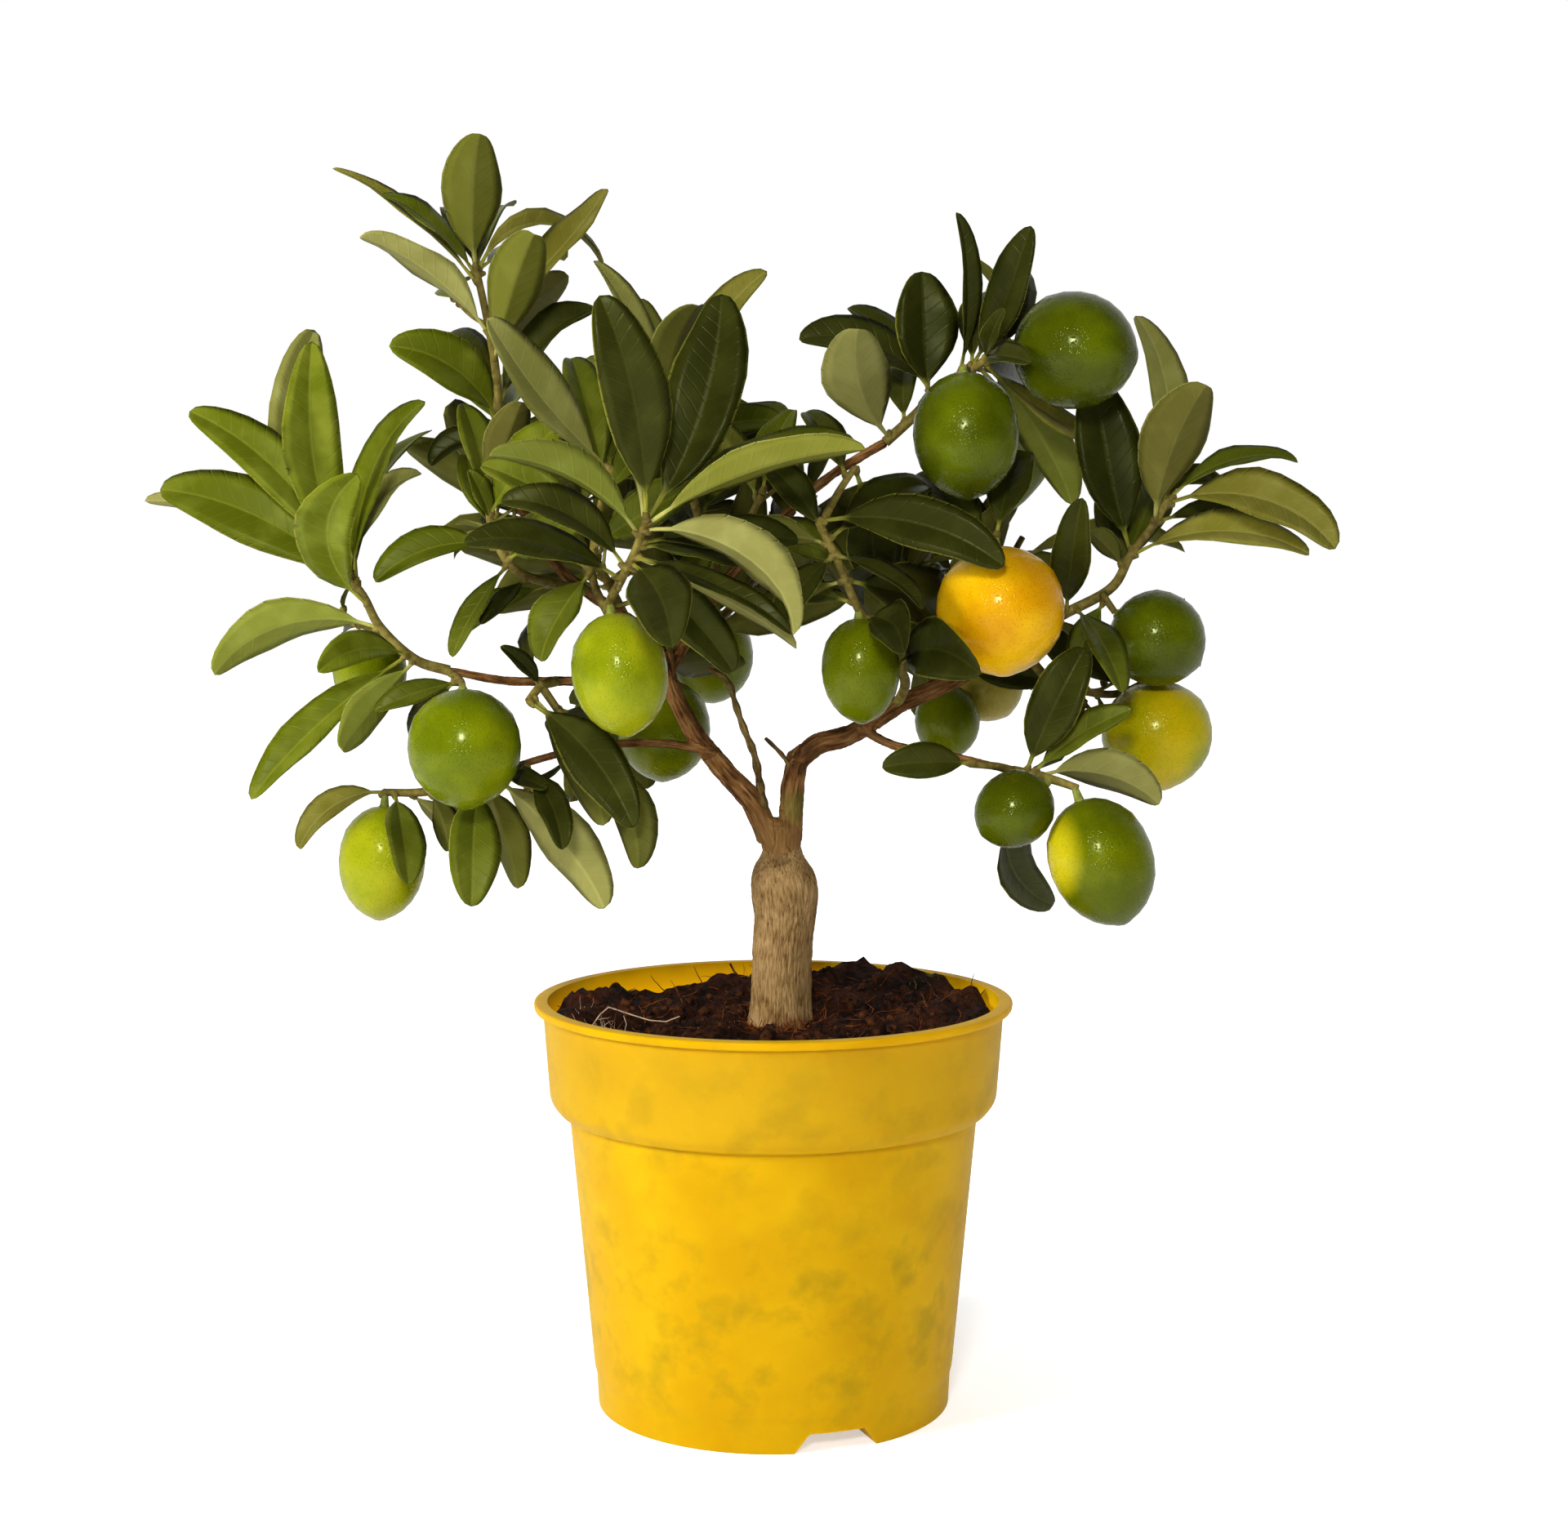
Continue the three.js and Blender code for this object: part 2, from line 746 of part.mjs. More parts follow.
        leaves: [
          [1, 20, -15, 44, 18, 20],
          [0.9, 320, -20, 44, 18, 30],
          [1, 60, -10, 40, 16, 30],
        ],
        fruits: [[1, 177, 14, 1, 46, 47]],
        hidden: 4,
      },
    ],
  },
  {
    name: "lower_right_mass",
    shoots: [
      {
        path: [[86, -42, 243], [93, -46, 242], [100, -50, 240.5], [108, -54, 238]],
        leaves: [
          [0.2, 24, 0, 50, 22, 10],
          [0.3, 55, 12, 43, 16, 40, 30],
          [0.4, 104, 38, 42, 16, 40, 65],
          [0.35, 166, -30, 74, 18, 30],
          [0.3, 340, -30, 40, 16, 20],
        ],
        fruits: [
          [0.6, 233, 15, 3, 27, 30],
          [0.95, 160, 6, 5, 37, 47],
        ],
        hidden: 3,
      },
      {
        from: [0, 0.05],
        path: [[80, -46, 245], [70, -48, 246]],
        leaves: [[0.9, 270, 15, 34, 16, 20, 20]],
      },
    ],
  },
  {
    name: "back_left_mass",
    shoots: [
      {
        path: [[-56, 7, 297], [-62, 30, 306], [-70, 58, 318], [-76, 88, 330]],
        leaves: [],
        hidden: 10,
      },
      { from: [0, 0.35], path: [[-48, 50, 322], [-40, 70, 340]], leaves: [], hidden: 8 },
      {
        from: [0, 0.45],
        path: [[-80, 55, 324], [-91, 62, 333]],
        fruits: [[0.9, 175, -10, 3, 27, 30]],
        leaves: [],
        hidden: 7,
      },
    ],
  },
  {
    name: "back_low_mass",
    shoots: [
      {
        path: [[-35, -6, 266], [-38, 14, 272], [-42, 34, 276], [-50, 58, 280], [-60, 84, 284]],
        fruits: [[0.42, 182, 0, 4, 36, 40]],
        leaves: [],
        hidden: 10,
      },
    ],
  },
  {
    name: "back_mass",
    shoots: [
      {
        path: [[-33, 2, 287], [-24, 24, 292], [-12, 52, 304], [-4, 84, 318]],
        leaves: [],
        hidden: 10,
      },
      { from: [0, 0.45], path: [[8, 58, 318], [16, 66, 334]], leaves: [], hidden: 9 },
      {
        from: [0, 0.6],
        path: [[-22, 84, 300], [-28, 98, 298]],
        fruits: [[1, 176, -15, 2, 36, 40]],
        leaves: [],
        hidden: 6,
      },
    ],
  },
  {
    name: "back_right_mass",
    shoots: [
      {
        path: [[58, -6.8, 270], [62, 16, 280], [66, 42, 292], [74, 76, 308]],
        fruits: [[0.6, 145, -2, 13, 30, 31]],
        leaves: [],
        hidden: 10,
      },
      { from: [0, 0.55], path: [[88, 56, 310], [98, 62, 326]], leaves: [], hidden: 8 },
      {
        from: [0, 0.3],
        path: [[52, 28, 292], [46, 42, 312], [44, 50, 330]],
        leaves: [],
        hidden: 8,
      },
      {
        from: [0, 0.2],
        path: [[64, 18, 274], [66, 24, 272]],
        fruits: [[1, 178, -5, 2, 25, 29]],
        leaves: [],
      },
    ],
  },
];

// A repeatable stream of shares from 0 to 1 for the growth rule
function seededDraws(seed) {
  let state = seed >>> 0;
  return () => {
    state = (state + 0x6d2b79f5) >>> 0;
    let mixed = Math.imul(state ^ (state >>> 15), state | 1);
    mixed = (mixed + Math.imul(mixed ^ (mixed >>> 7), mixed | 61)) ^ mixed;
    return ((mixed ^ (mixed >>> 14)) >>> 0) / 4294967296;
  };
}

function directionOf(clock, lean) {
  const across = Math.cos(radians(lean));
  return new THREE.Vector3(
    across * Math.sin(radians(clock)),
    -Math.sin(radians(lean)),
    across * Math.cos(radians(clock)),
  );
}

// A leaf's middle surface: the midrib arcs towards its rise, and the two halves fold up from it
function makeLeaf(shoot, share, direction, size, upper, rise, bend) {
  const foot = shoot.curve.getPointAt(share);
  const across = direction.clone().cross(rise);
  const turned = { up: upper.dot(rise), across: upper.dot(across) };
  return { foot, direction, rise, across, turned, ...size, bend: radians(bend), mass: shoot.mass };
}

// The picture-plane upright of a direction, which points up or else to the right
function uprightOf(direction) {
  const front = new THREE.Vector3(0, -1, 0).addScaledVector(direction, direction.y).normalize();
  const up = direction.clone().cross(front);
  if (up.z < 0) up.negate();
  return { front, up };
}

// The upper side of a hidden leaf looks the way its shoot grows
function sideByGrowth(direction, growth) {
  const upper = growth.clone().addScaledVector(direction, -growth.dot(direction));
  if (upper.length() < 0.15) upper.set(0, 0, 1).addScaledVector(direction, -direction.z);
  return upper.normalize();
}

function leafFrame(leaf, share) {
  const angle = leaf.bend * (0.5 - share);
  const end = leaf.bend / 2;
  const straight = Math.abs(leaf.bend) < 0.01;
  const along = straight ? share : (Math.sin(end) - Math.sin(angle)) / (2 * Math.sin(end));
  const lift = straight ? 0 : (Math.cos(angle) - Math.cos(end)) / (2 * Math.sin(end));
  const rib = leaf.foot
    .clone()
    .addScaledVector(leaf.direction, along * leaf.length)
    .addScaledVector(leaf.rise, lift * leaf.length);
  const rise = leaf.rise
    .clone()
    .multiplyScalar(Math.cos(angle))
    .addScaledVector(leaf.direction, -Math.sin(angle));
  const { up, across } = leaf.turned;
  const upper = rise.clone().multiplyScalar(up).addScaledVector(leaf.across, across);
  const side = leaf.across.clone().multiplyScalar(up).addScaledVector(rise, -across);
  return { rib, upper, side };
}

const fold = radians(leafShape.fold);

function leafPlace(leaf, share, across, lift = 0) {
  const { rib, upper, side } = leafFrame(leaf, share);
  const reach = across * halfWidth(leaf, share);
  return rib
    .addScaledVector(side, reach * Math.cos(fold))
    .addScaledVector(upper, Math.abs(reach) * Math.sin(fold) + lift);
}

function halfWidth(leaf, share) {
  const { stalkShare, stalkHalfWidth } = leafShape;
  if (share < stalkShare) return stalkHalfWidth;
  const run = (share - stalkShare) / (1 - stalkShare);
  const blade = (leaf.width / 2) * Math.sin(Math.PI * run ** 0.85) ** 0.8;
  return Math.max(blade, stalkHalfWidth * (1 - run));
}

function leafSolid(leaf) {
  const thick = Math.max(leaf.length * leafShape.thicknessShare, leafShape.thinnest);
  const rings = leafStations[leaf.seen ? "seen" : "behind"].map((share) => [
    leafPlace(leaf, share, -1),
    leafPlace(leaf, share, 0, -thick / 2),
    leafPlace(leaf, share, 1),
    leafPlace(leaf, share, 0, thick / 2),
  ]);
  const root = leaf.foot.clone().addScaledVector(leaf.direction, -leafShape.rootDepth);
  return loft(rings, root, leafPlace(leaf, 1, 0));
}

const sampleSteps = 14;

function leafSamples(leaf) {
  const samples = [];
  for (let step = 2; step <= sampleSteps; step++)
    for (const across of [-1, -0.5, 0, 0.5, 1]) samples.push(leafPlace(leaf, step / sampleSteps, across));
  return samples;
}

// Whether a place lies within a gap of a leaf's surface
function nearLeaf(place, leaf, gap) {
  const share = place.clone().sub(leaf.foot).dot(leaf.direction) / leaf.length;
  if (share < 0.1 || share > 1.04) return false;
  const { rib, upper, side } = leafFrame(leaf, Math.min(share, 1));
  const offset = place.clone().sub(rib);
  const across = Math.abs(offset.dot(side));
  if (across > halfWidth(leaf, Math.min(share, 1)) + gap) return false;
  return Math.abs(offset.dot(upper) - across * Math.tan(fold)) < gap;
}

const placedLeaves = [];
const placedFruits = [];
const placedShoots = [];

function nearTube(place, centres) {
  return centres.some(({ centre, radius }) => place.distanceToSquared(centre) < (radius + apart.wood) ** 2);
}

function centresAlong(curve, [footRadius, tipRadius]) {
  const count = Math.ceil(curve.getLength() / 2);
  return Array.from({ length: count + 1 }, (_, i) => ({
    centre: curve.getPointAt(i / count),
    radius: THREE.MathUtils.lerp(footRadius, tipRadius, i / count),
  }));
}

function isClear(leaf) {
  const samples = leafSamples(leaf);
  const outer = samples.filter((place) => place.distanceTo(leaf.foot) > apart.foot);
  const inReach = ({ centre }) => centre.distanceTo(leaf.foot) < leaf.length + leaf.width;
  const closeLimbs = limbCentres.filter(inReach);
  if (outer.some((place) => nearTube(place, closeLimbs))) return false;
  if (samples.some((place) => place.z < pot.height + apart.rim)) return false;
  for (const shoot of placedShoots) {
    const tested = shoot.mass === leaf.mass ? outer : samples;
    const close = shoot.centres.filter(inReach);
    if (tested.some((place) => nearTube(place, close))) return false;
  }
  for (const fruit of placedFruits) {
    const tested = fruit.mass === leaf.mass ? outer : samples;
    if (tested.some((place) => insideFruit(place, fruit))) return false;
  }
  for (const other of placedLeaves) {
    if (other.foot.distanceTo(leaf.foot) > other.length + leaf.length) continue;
    const own = other.mass === leaf.mass;
    const gap = own ? apart.ownLeaf : apart.otherLeaf;
    const root = own ? apart.ownRoot * leaf.length : 0;
    const free = (place, foot) => place.distanceTo(foot) > root;
    const mine = samples.filter((place) => free(place, leaf.foot) && free(place, other.foot));
    if (mine.some((place) => nearLeaf(place, other, gap))) return false;
    const theirs = other.samples.filter((place) => free(place, leaf.foot) && free(place, other.foot));
    if (theirs.some((place) => nearLeaf(place, leaf, gap))) return false;
  }
  return true;
}

// A fruit: an oval body round its stalk's line, with a small nipple at the end
function insideFruit(place, fruit) {
  const offset = place.clone().sub(fruit.centre);
  const along = offset.dot(fruit.axis);
  const across = Math.sqrt(Math.max(0, offset.lengthSq() - along * along));
  const halfLength = fruit.length / 2 + apart.fruit;
  const halfWidth = fruit.width / 2 + apart.fruit;
  return Math.hypot(along / halfLength, across / halfWidth) < 1;
}

const fruitRings = [
  // share of the length from the stalk, share of the half width
  [0.04, 0.42],
  [0.22, 0.87],
  [0.5, 1.01],
  [0.76, 0.84],
  [0.93, 0.4],
];

function fruitSolid(fruit) {
  const across = new THREE.Vector3(0, 1, 0).cross(fruit.axis).normalize();
  const other = fruit.axis.clone().cross(across);
  const rings = fruitRings.map(([share, half]) =>
    Array.from({ length: fruitSides }, (_, i) => {
      const angle = (i / fruitSides) * 2 * Math.PI;
      return fruit.top
        .clone()
        .addScaledVector(fruit.axis, share * fruit.length)
        .addScaledVector(across, (half * fruit.width * Math.cos(angle)) / 2)
        .addScaledVector(other, (half * fruit.width * Math.sin(angle)) / 2);
    }),
  );
  return loft(rings, fruit.top, fruit.top.clone().addScaledVector(fruit.axis, fruit.length));
}

function stalkSolid(fruit) {
  const line = new THREE.LineCurve3(fruit.foot, fruit.centre);
  return tube(line, twig.fruitStalk, { sides: twig.sides, steps: 1 });
}

// Growing: first every shoot and fruit, then the leaves that show, then those behind them
for (const mass of crown) {
  mass.shoots.forEach((shoot, index) => {
    if (shoot.from) {
      const [parent, share] = shoot.from;
      const foot = mass.shoots[parent].curve.getPointAt(share);
      shoot.path.unshift(foot.toArray());
    }
    shoot.mass = mass.name;
    shoot.curve = curveThrough(shoot.path);
    shoot.radii = index === 0 ? twig.stemRadii : twig.sideRadii;
    shoot.centres = centresAlong(shoot.curve, shoot.radii);
    placedShoots.push(shoot);
    for (const [share, clock, lean, stalk, width, length] of shoot.fruits ?? []) {
      const foot = shoot.curve.getPointAt(share);
      const axis = directionOf(clock, lean);
      const top = foot.clone().addScaledVector(axis, stalk);
      const centre = top.clone().addScaledVector(axis, length / 2);
      placedFruits.push({ foot, axis, top, centre, width, length, mass: mass.name });
    }
  });
}

// A leaf of the table that would touch something turns forward or back until it is clear, or is left out
const turns = [0, 6, -6, 12, -12, 20, -20, 30, -30, 42, -42];
for (const shoot of placedShoots) {
  for (const [share, clock, lean, length, width, face, arch] of shoot.leaves) {
    const options = turns.map((turn) => {
      const direction = directionOf(clock, lean + turn);
      const { front, up } = uprightOf(direction);
      const facing = front.multiplyScalar(Math.cos(radians(face)));
      const upper = facing.addScaledVector(up, Math.sin(radians(face)));
      const rise = arch === undefined ? upper : up;
      return makeLeaf(shoot, share, direction, { length, width }, upper, rise, arch ?? leafShape.bend);
    });
    const leaf = options.find(isClear);
    if (leaf) placedLeaves.push({ ...leaf, samples: leafSamples(leaf), seen: true });
  }
}

// Where a place shows from the viewpoint, as two angles
function bearing(place) {
  const offset = place.clone().sub(viewpoint);
  return [Math.atan2(offset.x, offset.y), Math.atan2(offset.z, offset.y)];
}

function fruitPlaces(fruit) {
  const radius = Math.min(fruit.width, fruit.length) / 2;
  const clocks = Array.from({ length: 24 }, (_, i) => i * 15);
  return clocks.flatMap((clock) =>
    [0.3, 0.65, 0.95].map((share) =>
      fruit.centre.clone().addScaledVector(directionOf(clock, 0), share * radius),
    ),
  );
}

const cover = [...placedLeaves.flatMap((leaf) => leaf.samples), ...placedFruits.flatMap(fruitPlaces)];
const coverBearings = cover.map(bearing);
const behind = {
  coverReach: 0.004,
  coveredShare: 0.93,
  foremostTip: -20,
  tries: 7,
  turn: 135,
  turnSpread: 30,
  farthestDown: 0.85,
  spread: [35, 85],
  length: [46, 72],
  slender: [0.28, 0.36],
  bend: [25, 55],
  droop: 0.12,
};

function isHidden(leaf) {
  const places = leafSamples(leaf).map(bearing);
  const covered = places.filter(([across, up]) =>
    coverBearings.some(([a, b]) => Math.hypot(a - across, b - up) < behind.coverReach),
  );
  return covered.length >= behind.coveredShare * places.length;
}

const draw = seededDraws(crownSeed);
const goldenShare = 0.618;

function between([low, high]) {
  return THREE.MathUtils.lerp(low, high, draw());
}

for (const shoot of placedShoots) {
  const wanted = shoot.hidden ?? 0;
  let turn = draw() * 360;
  let grown = 0;
  for (let attempt = 0; attempt < wanted * behind.tries && grown < wanted; attempt++) {
    turn += behind.turn + (draw() - 0.5) * behind.turnSpread;
    const share = 1 - behind.farthestDown * ((attempt * goldenShare) % 1);
    const spread = radians(between(behind.spread));
    const length = between(behind.length);
    const width = length * between(behind.slender);
    const growth = shoot.curve.getTangentAt(share);
    const across = new THREE.Vector3(0, 0, 1).cross(growth).normalize();
    const outward = across.applyAxisAngle(growth, radians(turn));
    const direction = growth.clone().multiplyScalar(Math.cos(spread));
    direction.addScaledVector(outward, Math.sin(spread));
    direction.z -= behind.droop;
    direction.normalize();
    const upper = sideByGrowth(direction, growth);
    const leaf = makeLeaf(shoot, share, direction, { length, width }, upper, upper, between(behind.bend));
    if (leafPlace(leaf, 1, 0).y < behind.foremostTip || !isHidden(leaf) || !isClear(leaf)) continue;
    placedLeaves.push({ ...leaf, samples: leafSamples(leaf) });
    grown++;
  }
}

// Joining: the twigs, leaves and fruit of a mass become one body, cut clear of the wood
for (const mass of crown) {
  const own = ({ mass: name }) => name === mass.name;
  const twigs = mass.shoots.map(({ curve, radii, path }) =>
    tube(curve, radii, { sides: twig.sides, steps: path.length + 1 }),
  );
  const fruits = placedFruits.filter(own);
  const pieces = [
    ...twigs,
    ...placedLeaves.filter(own).map(leafSolid),
    ...fruits.map(fruitSolid),
    ...fruits.map(stalkSolid),
  ];
  const joined = wood.reduce((solid, grown) => solid.subtract(grown), wasm.Manifold.union(pieces));
  addNode(mass.name, joined.simplify(0.02), materials.foliage);
}

export default part;
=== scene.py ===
import math

import bmesh
import bpy
import numpy as np
from mathutils import Matrix, Vector, noise
from mathutils.kdtree import KDTree


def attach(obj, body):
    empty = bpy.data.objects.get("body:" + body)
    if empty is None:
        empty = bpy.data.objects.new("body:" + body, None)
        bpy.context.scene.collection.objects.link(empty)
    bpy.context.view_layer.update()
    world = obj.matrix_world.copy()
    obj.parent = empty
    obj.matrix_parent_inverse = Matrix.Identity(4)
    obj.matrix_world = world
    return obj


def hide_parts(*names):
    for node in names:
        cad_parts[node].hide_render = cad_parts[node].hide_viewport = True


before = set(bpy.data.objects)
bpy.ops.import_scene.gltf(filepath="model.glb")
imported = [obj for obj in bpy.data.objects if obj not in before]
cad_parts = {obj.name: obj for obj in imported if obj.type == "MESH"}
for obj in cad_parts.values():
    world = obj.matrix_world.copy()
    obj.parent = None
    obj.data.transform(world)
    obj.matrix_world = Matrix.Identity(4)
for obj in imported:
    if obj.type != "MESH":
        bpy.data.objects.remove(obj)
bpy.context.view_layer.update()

# ---------------------------------------------------------------- The pot
# A thin nursery pot with a lip bead, a deep collar, a plain tapering body and three drainage
# channels under its foot. Injection-moulded polypropylene, satin and a little see-through, with
# the greenish film that damp peat leaves on it. Turned from one profile, the channels cut out.
MM = 0.001
POT_STEPS = 144
ARC_STEPS = 4
WALL = 1.6
POT_TOP = 153.4
FLOOR_TOP = 2.4
CUT_TOP = 158
# Profiles of the wall's two faces from the foot up: radius, height, rounding (mm)
POT_OUTSIDE = [
    (66.5, 0, 1.2),
    (67.1, 11.6, 4),
    (67.9, 14.4, 4),
    (76.9, 111.5, 0.6),
    (80.6, 112.2, 0.8),
    (84.0, 116.4, 4.2),
    (86.5, 150.2, 0.5),
    (89.6, 150.4, 0.9),
    (90.0, POT_TOP, 1.2),
    (84.9, POT_TOP, 0.9),
]
POT_INSIDE = [
    (64.9, FLOOR_TOP, 1),
    (75.3, 113, 1),
    (76.4, 113.6, 1),
    (82.6, 119.5, 4),
    (84.9, POT_TOP, 0.9),
]
CHANNEL_DIRECTIONS = (-69.5, 50.5, 170.5)
CHANNEL = dict(height=7, foot_half=16.6, top_half=10.6, inner=42, outer=92)


def rounded(profile):
    """A profile's points with each corner replaced by an arc of its own rounding."""
    points = []
    for i, (radius, height, rounding) in enumerate(profile):
        corner = Vector((radius, height))
        if i in (0, len(profile) - 1):
            points.append(corner)
            continue
        before = Vector(profile[i - 1][:2]) - corner
        after = Vector(profile[i + 1][:2]) - corner
        cut = min(rounding, before.length * 0.45, after.length * 0.45)
        start, end = corner + before.normalized() * cut, corner + after.normalized() * cut
        for step in range(ARC_STEPS + 1):
            share = step / ARC_STEPS
            points.append(
                start * (1 - share) ** 2 + corner * 2 * share * (1 - share) + end * share**2
            )
    return points


def spun(profile, steps=POT_STEPS):
    """A closed mesh from a profile in mm, from axis to axis, turned round the Z axis."""
    bm = bmesh.new()
    verts = [bm.verts.new((point[0] * MM, 0, point[1] * MM)) for point in profile]
    edges = [bm.edges.new(pair) for pair in zip(verts, verts[1:])]
    bmesh.ops.spin(
        bm, geom=verts + edges, cent=(0, 0, 0), axis=(0, 0, 1), angle=math.tau, steps=steps,
        use_merge=True,
    )
    bmesh.ops.remove_doubles(bm, verts=bm.verts, dist=1e-6)
    bmesh.ops.recalc_face_normals(bm, faces=bm.faces)
    return bm


def mesh_from(bm, name):
    mesh = bpy.data.meshes.new(name)
    bm.to_mesh(mesh)
    bm.free()
    mesh.shade_smooth()
    return mesh


def added(name, data):
    piece = bpy.data.objects.new(name, data)
    bpy.context.collection.objects.link(piece)
    return piece


def applied(piece):
    """Replaces a piece's mesh by the result of its modifiers."""
    depsgraph = bpy.context.evaluated_depsgraph_get()
    mesh = bpy.data.meshes.new_from_object(piece.evaluated_get(depsgraph))
    piece.modifiers.clear()
    piece.data = mesh
    return piece


def finished(piece, materials, nodes):
    """Gives a piece its materials, hides the model's parts that it stands for, and hangs it on the
    plant's one body.
    """
    held = piece.data.materials
    for i, material in enumerate(materials):
        if i < len(held):
            held[i] = material
        else:
            held.append(material)
    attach(piece, "root")
    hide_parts(*nodes)
    return piece


def paint(code):
    """The linear colour of an sRGB hex code."""
    shares = [int(code[i : i + 2], 16) / 255 for i in (1, 3, 5)]
    return (*[s / 12.92 if s <= 0.04045 else ((s + 0.055) / 1.055) ** 2.4 for s in shares], 1)


def add_node(tree, kind, inputs=None, **settings):
    """Adds a node, sets its properties, and links or sets each of the named inputs."""
    node = tree.nodes.new("ShaderNode" + kind)
    for key, value in settings.items():
        setattr(node, key, value)
    for socket, value in (inputs or {}).items():
        if isinstance(value, bpy.types.NodeSocket):
            tree.links.new(value, node.inputs[socket])
        else:
            node.inputs[socket].default_value = value
    return node


def new_material(name, **values):
    """A material with its Principled shader, plain values set on its sockets, and its places."""
    material = bpy.data.materials.new(name)
    material.use_nodes = True
    shader = material.node_tree.nodes["Principled BSDF"]
    for socket, value in values.items():
        shader.inputs[socket.replace("_", " ")].default_value = value
    place = add_node(material.node_tree, "TexCoord").outputs["Object"]
    return material, material.node_tree, shader, place


def ramp(tree, factor, stops):
    """A colour ramp through (place, linear colour) stops."""
    node = add_node(tree, "ValToRGB", {"Fac": factor})
    while len(node.color_ramp.elements) < len(stops):
        node.color_ramp.elements.new(1)
    for element, (place, colour) in zip(node.color_ramp.elements, stops):
        element.position = place
        element.color = colour
    return node.outputs["Color"]


def grey(value):
    return (value, value, value, 1)


def clouds_of(tree, place, scale, detail, **numbers):
    """A noise texture's values, with so many clouds to each unit of the place."""
    inputs = {"Vector": place, "Scale": scale, "Detail": detail, **numbers}
    return add_node(tree, "TexNoise", inputs).outputs["Fac"]


def math_of(tree, operation, *values, **settings):
    inputs = dict(enumerate(values))
    return add_node(tree, "Math", inputs, operation=operation, **settings).outputs[0]


def mapped(tree, value, start=0, end=1, low=0, high=1, smooth=False):
    """Carries the range from start to end over to that from low to high, held at its ends."""
    inputs = {"Value": value, "From Min": start, "From Max": end, "To Min": low, "To Max": high}
    kind = "SMOOTHSTEP" if smooth else "LINEAR"
    return add_node(tree, "MapRange", inputs, interpolation_type=kind).outputs[0]


def mixed(tree, share, colour, code):
    """A colour mixed towards the one of a hex code."""
    inputs = {0: share, 6: colour, 7: paint(code)}
    return add_node(tree, "Mix", inputs, data_type="RGBA").outputs[2]


def surface(tree, shader, colour, rough, relief, depth_mm, strength, **settings):
    """Links a surface's colour and roughness, and its relief as a bump of so many mm."""
    inputs = {"Height": relief, "Strength": strength, "Distance": depth_mm * MM}
    bump = add_node(tree, "Bump", inputs, **settings).outputs[0]
    for socket, value in (("Base Color", colour), ("Roughness", rough), ("Normal", bump)):
        tree.links.new(value, shader.inputs[socket])


def channel_cutter(name, grow):
    """The three radial drainage channels as closed bars, grown by so many mm on all sides."""
    bm = bmesh.new()
    for direction in CHANNEL_DIRECTIONS:
        low, high = CHANNEL["foot_half"] + grow, CHANNEL["top_half"] + grow
        roof = CHANNEL["height"] + grow
        outline = [(-low, -1), (low, -1), (high, roof), (-high, roof)]
        turn = Matrix.Rotation(math.radians(direction), 4, "Z")
        inner = (CHANNEL["inner"] - grow) * MM
        verts = [bm.verts.new(turn @ Vector((inner, y * MM, z * MM))) for y, z in outline]
        face = bm.faces.new(verts)
        out = turn @ Vector((CHANNEL["outer"] * MM - inner, 0, 0))
        grown = bmesh.ops.extrude_face_region(bm, geom=[face])["geom"]
        moved = [item for item in grown if isinstance(item, bmesh.types.BMVert)]
        bmesh.ops.translate(bm, verts=moved, vec=out)
    bmesh.ops.recalc_face_normals(bm, faces=bm.faces)
    return added(name, mesh_from(bm, name))


def subtract(piece, cutter):
    cut = piece.modifiers.new("cut", "BOOLEAN")
    cut.operation = "DIFFERENCE"
    cut.solver = "EXACT"
    cut.object = cutter
    applied(piece)
    bpy.data.objects.remove(cutter)


